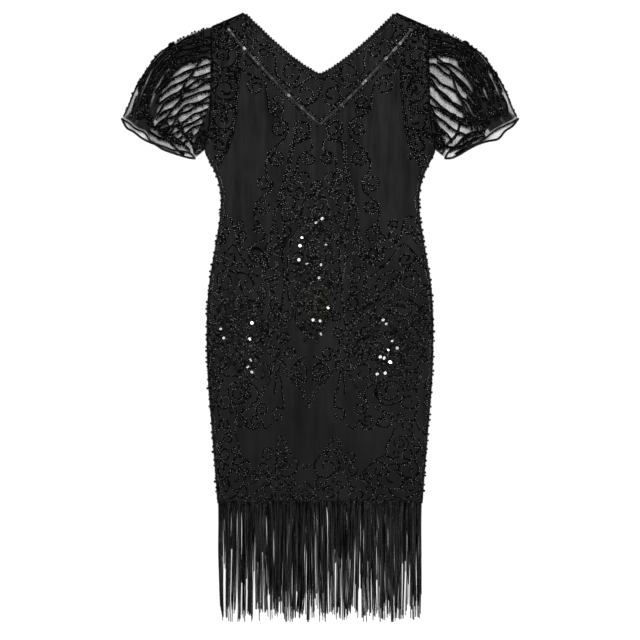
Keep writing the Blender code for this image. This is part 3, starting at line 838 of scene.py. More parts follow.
def wobbled(points, seed):
    """The slow unevenness of hand-laid lines, different for each seed."""
    x, y = points.T
    phase = np.random.default_rng(seed).uniform(0, math.tau, 4)
    dx = np.sin(x * 140 + y * 61 + phase[0]) + np.sin(y * 173 - x * 47 + phase[1])
    dy = np.sin(y * 121 - x * 88 + phase[2]) + np.sin(x * 190 + y * 30 + phase[3])
    return points + 0.75 * MM * np.column_stack([dx, dy])


def chart_point(x, y):
    return np.array([x * CHART_UNIT, SHOULDER_POINT_Y - y * CHART_UNIT])


def charted(points):
    return np.array([chart_point(x, y) for x, y in points])


def spiral(centre, start, turns, hand, left=0.24):
    """A curl that winds in from `start` round its centre and keeps `left` of its radius."""
    arm = start - centre
    share = np.linspace(0, 1, int(40 * turns) + 8)
    angle = math.atan2(arm[1], arm[0]) + hand * math.tau * turns * share
    radius = np.hypot(*arm) * (1 - (1 - left) * share**1.15)
    return centre + radius[:, None] * np.column_stack([np.cos(angle), np.sin(angle)])


def branch(line, centre, turns, sense):
    """A scroll that leaves a line at its point nearest to the scroll's centre."""
    nearest = int(np.argmin(np.linalg.norm(line - centre, axis=1)))
    nearest = min(max(nearest, 1), len(line) - 2)
    arm = line[nearest] - centre
    run = line[nearest + 1] - line[nearest - 1]
    hand = np.sign(arm[0] * run[1] - arm[1] * run[0]) * sense
    return spiral(centre, line[nearest], turns, hand)


def pattern_lines():
    """The half pattern's lines and scrolls, each with how many rows of beads it has."""
    drawn = {}
    for name, rows, points in LINES:
        points = charted(points)
        count = int(path_length(points) / (0.8 * MM)) + 4
        drawn[name] = (rows, along_path(points, np.linspace(0, 1, count)))
    lines = list(drawn.values())
    for name, x, y, turns, sense in BRANCHES:
        lines.append((1, branch(drawn[name][1], chart_point(x, y), turns, sense)))
    return lines


def nearest(points, to):
    """How far each plan point is from its nearest neighbour in `to`, and which that is."""
    tree = KDTree(len(to))
    for number, place in enumerate(to):
        tree.insert((place[0], place[1], 0.0), number)
    tree.balance()
    found = [tree.find((point[0], point[1], 0.0)) for point in points]
    return np.array([item[2] for item in found]), np.array([item[1] for item in found])


def grown_curls(lines, seed):
    """Scrolls that grow from one half's lines wherever there is room, the larger ones first."""
    random = np.random.default_rng(seed)
    taken = np.vstack([spaced(line, 2.5 * MM) for line in lines])
    areas = np.array([wide * high for _, _, wide, high, _ in FILLED])
    spots, gaps = [], []
    for (x, y, wide, high, gap), share in zip(FILLED, areas / areas.sum()):
        count = int(CURL_TRIALS * share)
        angle = random.uniform(0, math.tau, count)
        reach = np.sqrt(random.uniform(size=count))
        across = np.maximum(x + wide * reach * np.cos(angle), 1.0)
        spots += [chart_point(a, b) for a, b in zip(across, y + high * reach * np.sin(angle))]
        gaps += [gap * MM] * count
    spots, gaps = np.array(spots), np.array(gaps)
    distance, which = nearest(spots, taken)
    room = distance - gaps
    curls = []
    for radius in np.linspace(CURL_LARGEST, CURL_LEAST, 12):
        free = np.flatnonzero(room > radius)
        while len(free):
            pick = free[random.integers(len(free))]
            centre = spots[pick]
            arm = taken[which[pick]] - centre
            arm *= (radius + 0.6 * gaps[pick]) / np.hypot(*arm)
            turns = 0.55 + 0.95 * radius / CURL_LARGEST * random.uniform(0.85, 1.15)
            curls.append(spiral(centre, centre + arm, turns, random.choice((-1, 1)), 0.30))
            room = np.minimum(room, np.linalg.norm(spots - centre, axis=1) - radius - gaps)
            free = np.flatnonzero(room > radius)
    return curls


def edge_lines():
    """Rows that follow the garment's own edges, those on thread first and then the bare ones."""
    x = np.linspace(-SHOULDER_POINT_X, SHOULDER_POINT_X, 300)
    neck = np.column_stack([x, neck_edge_y(x)])
    lines = [beside(neck, -NECK_THREADED_ROW)]
    bare = [beside(neck, -NECK_BARE_ROW)]
    for side in (1, -1):
        x = np.linspace(SHOULDER_POINT_X - 6 * MM, TOP_HALF_WIDTH - 3 * MM, 60)
        for depth in SHOULDER_ROWS:
            lines.append(np.column_stack([side * x, top_edge_y(x) - depth * MM]))
        for top_y, bottom_y, inwards in SIDE_SEAM_ROWS:
            y = np.linspace(top_y, bottom_y, 300)
            uneven = 1.1 * np.sin(y * 150 + side) + 0.9 * np.sin(y * 340 + 2 * side)
            bare.append(np.column_stack([side * (half_width(y) - (inwards + uneven) * MM), y]))
        for inwards in ARMHOLE_ROWS:
            y = np.linspace(0.320, 0.530, 200)
            uneven = 1.5 * np.sin(y * 170 + inwards) + 1.2 * np.sin(y * 390 + side)
            bare.append(np.column_stack([side * (half_width(y) - (inwards + uneven) * MM), y]))
        leg = along_path(CHEVRON_PATH, np.linspace(0, 1, 160)) * (side, 1)
        for distance in (-CHEVRON_ROWS_BESIDE, CHEVRON_ROWS_BESIDE):
            lines.append(beside(leg, distance))
    return lines, bare


def inside_panel(points, margin):
    x, y = points.T
    ok = np.abs(x) < half_width(np.clip(y, HEM_Y, SHOULDER_POINT_Y)) - margin
    return ok & (y > HEM_Y + 0.5 * MM) & (y < top_edge_y(x) - margin)


def thinned(places, apart):
    """Leaves out each place that is nearer than `apart` to an earlier one."""
    kept, cells = [], {}
    for number, (x, y) in enumerate(places):
        i, j = int(x // apart), int(y // apart)
        near = (k for a in (-1, 0, 1) for b in (-1, 0, 1) for k in cells.get((i + a, j + b), ()))
        if all((places[k][0] - x) ** 2 + (places[k][1] - y) ** 2 > apart**2 for k in near):
            cells.setdefault((i, j), []).append(number)
            kept.append(number)
    return np.array(kept, int)


def laid_lines(seed, with_curls=True):
    """Every line of one panel's beading in plan: the line, how far apart its rows lie, if on thread."""
    on_thread, bare = edge_lines()
    laid = [(line, 0.0, True) for line in on_thread] + [(line, 0.0, False) for line in bare]
    for side, number in ((1, 0), (-1, 1)):
        half = []
        for rows, line in pattern_lines():
            half.append((wobbled(line, seed + number), ROW_APART if rows == 1 else WIDE_ROW_APART))
        if with_curls:
            drawn = [line for line, _ in half]
            half += [(curl, CURL_ROW_APART) for curl in grown_curls(drawn, seed + 7 + number)]
        laid += [(leaned(line, side), apart, True) for line, apart in half]
    return laid


def beads_on(laid, pitch, seed, paired=True):
    """Places of the round beads along these lines, in pairs of rows where they have two.

    The second of two close rows is dull, the others are mostly polished; polish runs from 0 to 1.
    """
    random = np.random.default_rng(seed)
    rows, polish = [], []
    for line, apart, _ in laid:
        first = random.uniform(0.1, 0.6)
        offsets = (apart / 2, -apart / 2) if apart and paired else (0.0,)
        for number, offset in enumerate(offsets):
            row = spaced(beside(line, offset), pitch, first + 0.5 * number)
            dull_share = DULL_SHARES[1 if number and apart < STRIPS_PART_FROM else 0]
            is_dull = random.uniform(size=len(row)) < dull_share
            dull = random.uniform(*DULL_BEADS_POLISH, len(row))
            other = random.uniform(*OTHER_BEADS_POLISH, len(row))
            rows.append(row)
            polish.append(np.where(is_dull, dull, other))
    places, polish = np.vstack(rows), np.concatenate(polish)
    inside = inside_panel(places, -BEADS_PAST_EDGE)
    places, polish = places[inside], polish[inside]
    kept = thinned(places, BEAD_APART)
    return places[kept] + random.normal(0, BEAD_STRAY, (len(kept), 2)), polish[kept]


# ------------------------------------------------------------------ making meshes
def finish_mesh(name, bm, finish):
    """Turns a bmesh into a piece of the dress."""
    mesh = bpy.data.meshes.new(name)
    bm.to_mesh(mesh)
    bm.free()
    return finish_piece(name, mesh, finish)


def finish_piece(name, mesh, finish, smooth_faces=True):
    mesh.materials.append(finish)
    if smooth_faces:
        mesh.shade_smooth()
    else:
        mesh.shade_flat()
    piece = bpy.data.objects.new(name, mesh)
    bpy.context.scene.collection.objects.link(piece)
    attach(piece, BODY)
    return piece


def grid_sheet(columns, rows, place):
    """A sheet of columns by rows cells, each vertex moved to place(column numbers, row numbers)."""
    bm = bmesh.new()
    bmesh.ops.create_grid(bm, x_segments=columns, y_segments=rows, size=0.5)
    flat = np.array([vert.co[:] for vert in bm.verts])
    i = np.rint((flat[:, 0] + 0.5) * columns)
    j = np.rint((flat[:, 1] + 0.5) * rows)
    for vert, point in zip(bm.verts, place(i, j)):
        vert.co = point
    bm.normal_update()
    return bm


def face_up(bm):
    """Turns a sheet so that its faces look up."""
    total = sum(face.normal.z * face.calc_area() for face in bm.faces)
    if total < 0:
        bmesh.ops.reverse_faces(bm, faces=bm.faces[:])


def walled(piece, thickness):
    wall = piece.modifiers.new("wall", "SOLIDIFY")
    wall.thickness = thickness
    wall.offset = -1
    wall.use_rim = True


def couching_and_painted_shade(name, laid, height, finish):
    """The dark strips under beaded lines, partly thread and partly painted shade round the beads: low
    strips that are highest along their middle.
    """
    bm = bmesh.new()
    for line, apart, on_thread in laid:
        if not on_thread:
            continue
        if apart > STRIPS_PART_FROM:
            strips, wide = (beside(line, apart / 2), beside(line, -apart / 2)), COUCHING_AND_SHADE_LEAST
        else:
            strips, wide = (line,), max(apart + COUCHING_AND_SHADE_PAST_ROWS, COUCHING_AND_SHADE_LEAST)
        for strip in strips:
            couching_and_shade_strip(bm, spaced(strip, COUCHING_AND_SHADE_STEP), wide, height)
    bm.normal_update()
    face_up(bm)
    return finish_mesh(name, bm, finish)


def couching_and_shade_strip(bm, line, wide, height):
    """One strip of thread and painted shade, wherever the line is on the panel."""
    inside = inside_panel(line, 1.2 * MM)
    ends = np.flatnonzero(np.diff(np.concatenate([[False], inside, [False]]).astype(int)))
    for first, last in zip(ends[::2], ends[1::2]):
        if last - first < 3:
            continue
        run = line[first:last]
        cells = len(run) - 1
        x, y = np.abs(run[:, 0]), run[:, 1]
        # The painted shade widens by the armholes and narrows on the skirt.
        outwards = smooth((x - ARMHOLE_FROM_X) / ARMHOLE_WITHIN_X)
        upwards = smooth((y - ARMHOLE_FROM_Y) / ARMHOLE_WITHIN_Y)
        more = ARMHOLE_COUCHING_AND_SHADE_MORE * outwards * upwards
        less = SKIRT_COUCHING_AND_SHADE_LESS * skirt_share(y)
        half_wide = (wide + more - less)[:, None] / 2
        made = bmesh.ops.create_grid(bm, x_segments=cells, y_segments=2, size=0.5)["verts"]
        flat = np.array([vert.co[:2] for vert in made])
        i = np.rint((flat[:, 0] + 0.5) * cells).astype(int)
        j = np.rint((flat[:, 1] + 0.5) * 2).astype(int)
        aside = beside(run, 1.0) - run
        rails = np.stack([run + share * half_wide * aside for share in (-1.0, 0.0, 1.0)])
        plan = rails[j, i]
        lift = np.where(j == 1, COUCHING_AND_SHADE_LIFT, COUCHING_AND_SHADE_EDGE_LIFT)
        for vert, (x, y), z in zip(made, plan, height(*plan.T) + lift):
            vert.co = (x, y, z)


def template(build):
    """The corners and faces of a small shape made with bmesh operators."""
    bm = bmesh.new()
    build(bm)
    bmesh.ops.triangulate(bm, faces=bm.faces[:])
    corners = np.array([vert.co[:] for vert in bm.verts])
    faces = np.array([[vert.index for vert in face.verts] for face in bm.faces])
    bm.free()
    return corners, faces


def random_turns(count, seed):
    """Rotation matrices that turn each small shape its own way."""
    q = np.random.default_rng(seed).normal(size=(count, 4))
    w, x, y, z = (q / np.linalg.norm(q, axis=1)[:, None]).T
    rows = [
        [1 - 2 * (y * y + z * z), 2 * (x * y - z * w), 2 * (x * z + y * w)],
        [2 * (x * y + z * w), 1 - 2 * (x * x + z * z), 2 * (y * z - x * w)],
        [2 * (x * z - y * w), 2 * (y * z + x * w), 1 - 2 * (x * x + y * y)],
    ]
    return np.moveaxis(np.array(rows), 2, 0)


def turned_to(normals, spin):
    """Matrices whose third axis is each normal, spun about it by these angles."""
    normals = normals / np.linalg.norm(normals, axis=1)[:, None]
    helper = np.where(np.abs(normals[:, :1]) < 0.9, [[1.0, 0, 0]], [[0, 1.0, 0]])
    first = np.cross(helper, normals)
    first /= np.linalg.norm(first, axis=1)[:, None]
    second = np.cross(normals, first)
    c, s = np.cos(spin)[:, None], np.sin(spin)[:, None]
    return np.stack([first * c + second * s, second * c - first * s, normals], axis=2)


def scattered(name, shape, places, turns, sizes, finish, smooth_faces=False, polish=None):
    """One joined mesh of many copies of a small shape, each with its own polish from 0 to 1."""
    corners, faces = shape
    sizes = np.broadcast_to(np.asarray(sizes, float), (len(places), 3))
    sized = corners[None] * sizes[:, None]
    points = np.einsum("nij,nkj->nki", turns, sized) + places[:, None]
    return finish_piece(name, joined_mesh(name, points, faces, polish), finish, smooth_faces)


def joined_mesh(name, points, faces, polish=None):
    """One mesh of the copies whose corners these are, which carries each one's own polish."""
    copies, corners = points.shape[:2]
    joined = faces[None] + (np.arange(copies) * corners)[:, None, None]
    mesh = bpy.data.meshes.new(name)
    mesh.from_pydata(points.reshape(-1, 3).tolist(), [], joined.reshape(-1, 3).tolist())
    if polish is not None:
        own = mesh.attributes.new("polish", "FLOAT", "POINT")
        own.data.foreach_set("value", np.repeat(polish, corners).astype(np.float32))
    return mesh


def round_bead(bm):
    bmesh.ops.create_icosphere(bm, subdivisions=1, radius=0.5)


def sequin(bm):
    """A shallow cup with a small flat middle, a unit across."""
    bmesh.ops.create_circle(bm, cap_ends=True, segments=10, radius=0.5)
    bmesh.ops.inset_region(bm, faces=bm.faces[:], thickness=0.14, depth=-0.05)
    bmesh.ops.inset_region(bm, faces=[max(bm.faces, key=lambda f: len(f.verts))], thickness=0.2)
    bm.normal_update()
    bmesh.ops.solidify(bm, geom=bm.faces[:], thickness=0.04)
    bmesh.ops.recalc_face_normals(bm, faces=bm.faces[:])


def upright_edges(bm):
    return [edge for edge in bm.edges if abs(edge.verts[0].co.z - edge.verts[1].co.z) > 0.5]


def plate(bm):
    """A thin plate with eased corners, a unit long and wide."""
    bmesh.ops.create_cube(bm, size=1.0)
    bmesh.ops.bevel(
        bm, geom=upright_edges(bm), offset=0.16, segments=2, profile=0.5, affect="EDGES", material=-1
    )


def strand(bm):
    """A straight strand, a unit long and wide, with rings of corners all the way down."""
    bmesh.ops.create_cone(bm, cap_ends=True, segments=STRAND_SIDES, radius1=0.5, radius2=0.5, depth=1.0)
    bmesh.ops.subdivide_edges(bm, edges=upright_edges(bm), cuts=STRAND_RINGS - 1, use_grid_fill=True)


# ------------------------------------------------------------------ finishes
# Shade of the body's cloth, between the ends of its ramp, and what its streaks and clouds add; the streaks
# are partly the cloth's uneven tone and partly painted shade of its fine creases.
LINING_SHADE = 0.373
CLOTH_PALER_A_METRE_UP = 0.11
LINING_CLOUDS = 0.25
TONE_AND_CREASE_SHADE_STREAKS = 0.42
TONE_AND_CREASE_SHADE_MORE_A_METRE_UP = 0.75


def new_finish(name, colour, roughness, specular=0.5):
    made = bpy.data.materials.new(name)
    made.use_nodes = True
    surface = made.node_tree.nodes["Principled BSDF"]
    surface.inputs["Base Color"].default_value = (*colour, 1.0)
    surface.inputs["Roughness"].default_value = roughness
    surface.inputs["Specular IOR Level"].default_value = specular
    return made, made.node_tree, surface


def add_node(tree, kind, **settings):
    node = tree.nodes.new(kind)
    for key, value in settings.items():
        setattr(node, key, value)
    return node


def object_coordinates(tree, scale, turn=0.0):
    """Object coordinates, stretched and turned about the vertical."""
    source = add_node(tree, "ShaderNodeTexCoord")
    mapping = add_node(tree, "ShaderNodeMapping")
    mapping.inputs["Scale"].default_value = scale
    mapping.inputs["Rotation"].default_value = (0, 0, turn)
    tree.links.new(source.outputs["Object"], mapping.inputs["Vector"])
    return mapping.outputs["Vector"]


def noise(tree, vector, scale, detail=3.0, roughness=0.5):
    node = add_node(tree, "ShaderNodeTexNoise")
    node.inputs["Scale"].default_value = scale
    node.inputs["Detail"].default_value = detail
    node.inputs["Roughness"].default_value = roughness
    tree.links.new(vector, node.inputs["Vector"])
    return node.outputs["Fac"]


def wave(tree, vector, scale, direction, distortion=0.0):
    node = add_node(tree, "ShaderNodeTexWave", wave_type="BANDS", bands_direction=direction)
    node.inputs["Scale"].default_value = scale
    node.inputs["Distortion"].default_value = distortion
    tree.links.new(vector, node.inputs["Vector"])
    return node.outputs["Fac"]


def maths(tree, operation, first, second=0.0, third=None):
    node = add_node(tree, "ShaderNodeMath", operation=operation)
    for socket, value in zip(node.inputs, (first, second, third)):
        if isinstance(value, bpy.types.NodeSocket):
            tree.links.new(value, socket)
        elif value is not None:
            socket.default_value = value
    return node.outputs[0]


def ramp(tree, fac, stops):
    """A colour ramp; each stop is a place and a grey or a colour."""
    node = add_node(tree, "ShaderNodeValToRGB")
    elements = node.color_ramp.elements
    while len(elements) < len(stops):
        elements.new(0.5)
    for element, (place, colour) in zip(elements, stops):
        element.position = place
        element.color = (*colour, 1.0) if hasattr(colour, "__len__") else (colour,) * 3 + (1.0,)
    tree.links.new(fac, node.inputs["Fac"])
    return node.outputs["Color"]


def add_bump(tree, surface, height, distance):
    node = add_node(tree, "ShaderNodeBump")
    node.inputs["Distance"].default_value = distance
    node.inputs["Strength"].default_value = 1.0
    tree.links.new(height, node.inputs["Height"])
    tree.links.new(node.outputs["Normal"], surface.inputs["Normal"])


def net_over_lining():
    """Fine black net laid over a matt lining, with long soft streaks: partly uneven tone, partly painted
    shade of fine creases.
    """
    made, tree, surface = new_finish("beaded_net", (0.0125, 0.0125, 0.0132), 0.85, 0.12)
    tone_and_crease_streaks = noise(tree, object_coordinates(tree, (1.0, 0.12, 1.0)), 75.0, 4.0, 0.62)
    cloudy = noise(tree, object_coordinates(tree, (1.0, 1.0, 1.0)), 12.0, 2.0)
    split = add_node(tree, "ShaderNodeSeparateXYZ")
    tree.links.new(object_coordinates(tree, (1, 1, 1)), split.inputs["Vector"])
    # The painted crease streaks are plainest on the bodice.
    weight = maths(tree, "MULTIPLY_ADD", split.outputs["Y"], TONE_AND_CREASE_SHADE_MORE_A_METRE_UP, TONE_AND_CREASE_SHADE_STREAKS)
    streaked_with_crease_shade = maths(tree, "MULTIPLY_ADD", maths(tree, "SUBTRACT", tone_and_crease_streaks, 0.5), weight, LINING_SHADE)
    tone_and_painted_shade = maths(tree, "MULTIPLY_ADD", cloudy, LINING_CLOUDS, streaked_with_crease_shade)
    # The cloth's colour is a little darker towards the hem.
    tone_and_painted_shade = maths(tree, "MULTIPLY_ADD", split.outputs["Y"], CLOTH_PALER_A_METRE_UP, tone_and_painted_shade)
    colour = ramp(tree, tone_and_painted_shade, ((0.39, (0.0040, 0.0040, 0.0041)), (0.68, (0.0172, 0.0172, 0.0173))))
    tree.links.new(colour, surface.inputs["Base Color"])
    surface.inputs["Sheen Weight"].default_value = 0.03
    surface.inputs["Sheen Roughness"].default_value = 0.4
    threads = wave(tree, object_coordinates(tree, (1, 1, 1), math.radians(45)), 160.0, "X")
    crossing = wave(tree, object_coordinates(tree, (1, 1, 1), math.radians(45)), 160.0, "Y")
    crossed = maths(tree, "MAXIMUM", threads, crossing)
    weave = maths(tree, "ADD", crossed, maths(tree, "MULTIPLY", tone_and_crease_streaks, 2.0))
    add_bump(tree, surface, weave, 0.35 * MM)
    return made


def net_alpha(tree, cell, thread, turn):
    """1 on the threads of a square net and 0 in its holes."""
    # Soft patches of wider thread: net lying double, and painted shade on the lower layer.
    soft = noise(tree, object_coordinates(tree, (1, 1, 0), turn), 46.0, 2.0, 0.6)
    doubled_and_shaded = ramp(tree, soft, ((0.36, 0.0), (0.68, 1.0)))
    cover = maths(tree, "MULTIPLY_ADD", doubled_and_shaded, NET_DOUBLES_AND_SHADE, NET_SINGLE)
    cover = maths(tree, "MULTIPLY", cover, thread / cell)
    vector = object_coordinates(tree, (1.0 / cell, 1.0 / cell, 0.0), turn)
    split = add_node(tree, "ShaderNodeSeparateXYZ")
    tree.links.new(vector, split.inputs["Vector"])
    lines = []
    for axis in ("X", "Y"):
        place = maths(tree, "FRACT", split.outputs[axis])
        lines.append(maths(tree, "LESS_THAN", place, cover))
    return maths(tree, "MAXIMUM", *lines)


def sheer_net():
    """Black silk net of small square holes."""
    made, tree, surface = new_finish("sheer_net", (0.012, 0.012, 0.0125), 0.7, 0.2)
    alpha = net_alpha(tree, NET_CELL, NET_THREAD, math.radians(38))
    tree.links.new(alpha, surface.inputs["Alpha"])
    return made


def gathered_net():
    """The same net where many gathers lie on each other and hide what is under them."""
    made, tree, surface = new_finish("gathered_net", (0.0080, 0.0080, 0.0084), 0.8, 0.08)
    source = add_node(tree, "ShaderNodeUVMap", uv_map="gathers")
    mapping = add_node(tree, "ShaderNodeMapping")
    mapping.inputs["Scale"].default_value = (11.0, 2.4, 1.0)
    tree.links.new(source.outputs["UV"], mapping.inputs["Vector"])
    folds = noise(tree, mapping.outputs["Vector"], 1.0, 3.0, 0.55)
    split = add_node(tree, "ShaderNodeSeparateXYZ")
    tree.links.new(source.outputs["UV"], split.inputs["Vector"])
    # The net thickens quickly from the edges of the gathers.
    edge = maths(tree, "PINGPONG", split.outputs["X"], 0.5)
    thick = maths(tree, "MINIMUM", maths(tree, "MULTIPLY", edge, GATHERS_THICKEN), GATHERS_THICKEST)
    # They part a little on their way down, and close again at the cuff.
    closed = maths(tree, "ABSOLUTE", maths(tree, "SUBTRACT", split.outputs["Y"], GATHERS_PART_AT))
    within = maths(tree, "MULTIPLY_ADD", closed, GATHERS_CLOSE, thick)
    cover = maths(tree, "ADD", within, maths(tree, "MULTIPLY_ADD", folds, 3.2, -1.45))
    alpha = ramp(tree, cover, ((0.20, 0.0), (0.32, 0.55), (0.62, 0.97)))
    tree.links.new(alpha, surface.inputs["Alpha"])
    add_bump(tree, surface, folds, 1.2 * MM)
    return made


def polished_jet():
    """Black glass, polished on some beads and dull on others, duller by the armholes and the hem."""
    made, tree, surface = new_finish("polished_jet", (0.0010, 0.0010, 0.0011), 0.38)
    surface.inputs["IOR"].default_value = 2.4
    split = add_node(tree, "ShaderNodeSeparateXYZ")
    tree.links.new(object_coordinates(tree, (1, 1, 1)), split.inputs["Vector"])
    own = add_node(tree, "ShaderNodeAttribute", attribute_name="polish")
    up = maths(tree, "MINIMUM", split.outputs["Y"], SHINE_RISES_TO)
    polish = maths(tree, "MULTIPLY_ADD", up, POLISH_A_METRE_UP, own.outputs["Fac"])
    aside = maths(tree, "ABSOLUTE", split.outputs["X"])
    is_aside = maths(tree, "GREATER_THAN", aside, DULL_FROM_X)
    is_high = maths(tree, "GREATER_THAN", split.outputs["Y"], DULL_FROM_Y)
    at_armhole = maths(tree, "MULTIPLY", is_aside, is_high)
    polish = maths(tree, "MULTIPLY_ADD", at_armhole, -ARMHOLE_POLISH_LESS, polish)
    above_dullest = maths(tree, "SUBTRACT", polish, DULLEST_POLISH)
    share = maths(tree, "DIVIDE", above_dullest, BRIGHTEST_POLISH - DULLEST_POLISH)
    shine = ramp(tree, share, ((0.0, 0.01), (1.0, 1.0)))
    tree.links.new(shine, surface.inputs["Specular IOR Level"])
    return made


def plain_jet():
    """Duller black glass, of the back, the sleeves and the garment's edges."""
    made, tree, surface = new_finish("plain_jet", (0.0014, 0.0014, 0.0015), 0.14)
    wear = noise(tree, object_coordinates(tree, (1, 1, 1)), 330.0, 1.0)
    tree.links.new(ramp(tree, wear, ((0.44, 0.02), (0.62, 0.75))), surface.inputs["Specular IOR Level"])
    return made


def thread_and_painted_shade():
    """Matt black thread, which also serves as painted shade round the beaded lines."""
    made, _, _ = new_finish("thread_and_painted_shade", (0.0014, 0.0014, 0.0015), 0.9, 0.03)
    return made


def smoked_plates():
    """The smoked, glossy plates of the V on the yoke."""
    made, tree, surface = new_finish("bugle_beads", (0.035, 0.035, 0.037), 0.22, 0.65)
    cloudy = noise(tree, object_coordinates(tree, (1, 1, 1)), 120.0, 2.0)
    colour = ramp(tree, cloudy, ((0.35, (0.016, 0.016, 0.0165)), (0.7, (0.062, 0.062, 0.063))))
    tree.links.new(colour, surface.inputs["Base Color"])
    return made


def sequin_black():
    """Glossy black sequins, clouded paler grey: the clouds are painted reflection on their gloss."""
    made, tree, surface = new_finish("sequin_black", (0.006, 0.006, 0.0065), 0.07, 0.5)
    surface.inputs["IOR"].default_value = 1.7
    cloudy = noise(tree, object_coordinates(tree, (1, 1, 1)), 90.0, 2.0)
    # The paler clouds are painted reflection.
    colour = ramp(tree, cloudy, ((0.36, (0.0036, 0.0036, 0.0036)), (0.70, (0.048, 0.048, 0.047))))
    # Those low in the middle are tinted olive.
    split = add_node(tree, "ShaderNodeSeparateXYZ")
    tree.links.new(object_coordinates(tree, (1, 1, 1)), split.inputs["Vector"])
    beside_it = maths(tree, "ADD", split.outputs["X"], -OLIVE_TINT_AT[0])
    above_it = maths(tree, "ADD", split.outputs["Y"], -OLIVE_TINT_AT[1])
    away = maths(tree, "MULTIPLY_ADD", beside_it, beside_it, maths(tree, "MULTIPLY", above_it, above_it))
    share = maths(tree, "DIVIDE", away, OLIVE_TINT_RADIUS**2)
    tint = ramp(tree, share, ((0.3, (1.0, 0.98, 0.55)), (1.0, (0.36, 0.36, 0.36))))
    tinted = add_node(tree, "ShaderNodeVectorMath", operation="MULTIPLY")
    tree.links.new(colour, tinted.inputs[0])
    tree.links.new(tint, tinted.inputs[1])
    tree.links.new(tinted.outputs[0], surface.inputs["Base Color"])
    return made


def fringe_thread():
    """Fine strung beads: a dark thread that is ringed all the way down."""
    made, tree, surface = new_finish("fringe_beads", (0.007, 0.007, 0.0075), 0.30)
    rings = wave(tree, object_coordinates(tree, (1, 1, 1)), 95.0, "Y")
    add_bump(tree, surface, rings, 0.6 * MM)
    # Strands differ in colour, partly by their own tone and partly as painted shade: dark strands stand for
    # the shadows between strands, pale ones for their lit sides, and the shine follows.
    cloudy = noise(tree, object_coordinates(tree, (1.0, 0.045, 1.0)), 300.0, 2.0)
    own = add_node(tree, "ShaderNodeAttribute", attribute_name="polish")
    tone_and_painted_shade = maths(tree, "MULTIPLY_ADD", cloudy, 0.7, 0.04)
    tone_and_painted_shade = maths(tree, "MULTIPLY_ADD", own.outputs["Fac"], 0.22, tone_and_painted_shade)
    colour = ramp(tree, tone_and_painted_shade, ((0.40, (0.0010, 0.0010, 0.0010)), (0.66, (0.0170, 0.0170, 0.0172))))
    tree.links.new(colour, surface.inputs["Base Color"])
    tree.links.new(ramp(tree, tone_and_painted_shade, ((0.40, 0.03), (0.66, 0.40))), surface.inputs["Specular IOR Level"])
    return made


def rolled_edge():
    """Overcast black thread, ringed along its length."""
    made, tree, surface = new_finish("rolled_edge", (0.005, 0.005, 0.0053), 0.7, 0.15)
    twist = wave(tree, object_coordinates(tree, (1, 1, 0)), 320.0, "DIAGONAL", 1.0)
    add_bump(tree, surface, twist, 0.3 * MM)
    return made


# ------------------------------------------------------------------ the pieces
# Cells of the cloth: across, and down below and above the height where its rows stop being straight.
FRONT_GRID = (156, 96, 40)
BACK_GRID = (100, 60, 26)
STRAIGHT_TO_Y = 262 * MM
EDGE_STEPS = (0.0, 0.4 * MM, 1.5 * MM, 3.0 * MM)

# Cells of each sleeve's net, round it and down it, and of its gathers, across and down.
SLEEVE_GRID = (150, 50)
GATHERS_GRID = (48, 60)


def panel_place(columns, low_rows, high_rows, neck_drop, height):
    """How a panel's grid lies: straight rows up to the underarm, then rows that meet the top edge."""
    half = columns // 2
    inner = half - len(EDGE_STEPS)
    corner = SHOULDER_POINT_X / (TOP_HALF_WIDTH - ROLL)
    near = round(inner * corner)
    to_corner, past_corner = np.linspace(0, corner, near + 1), np.linspace(corner, 1, inner - near + 1)
    shares = np.concatenate([to_corner, past_corner[1:], np.ones(len(EDGE_STEPS))])
    inwards = np.concatenate([np.full(inner + 1, ROLL), EDGE_STEPS[::-1]])

    def place(i, j):
        across = np.abs(i - half).astype(int)
        side = np.sign(i - half)
        share, inward = shares[across], inwards[across]
        top_x = np.where(across <= inner, share * (TOP_HALF_WIDTH - ROLL), TOP_HALF_WIDTH - inward)
        top_y = top_edge_y(top_x) - np.where(top_x > SHOULDER_POINT_X * 1.001, 0.0, neck_drop)
        low = HEM_Y + np.minimum(j / low_rows, 1.0) * (STRAIGHT_TO_Y - HEM_Y)
        y = low + np.clip((j - low_rows) / high_rows, 0, 1) * (top_y - STRAIGHT_TO_Y)
        width = half_width(y)
        x = np.where(across <= inner, share * (width - ROLL), width - inward) * side
        return np.column_stack([x, y, height(x, y)])

    return place


def panel_cloth(name, grid, neck_drop, height, finish):
    """A thin shell on one panel's form."""
    columns, low_rows, high_rows = grid
    place = panel_place(columns, low_rows, high_rows, neck_drop, height)
    bm = grid_sheet(columns, low_rows + high_rows, place)
    face_up(bm)
    cloth = finish_mesh(name, bm, finish)
    walled(cloth, CLOTH)
    return cloth


def make_body_cloth(finish):
    """The front and the back."""
    front = panel_cloth("front_cloth", FRONT_GRID, 0.0, front_height, finish)
    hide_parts("front_panel")
    back = panel_cloth("back_cloth", BACK_GRID, BACK_NECK_DROP, back_height, finish)
    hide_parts("back_panel")
    return front, back


def both_sides():
    return (("left", 1), ("right", -1))


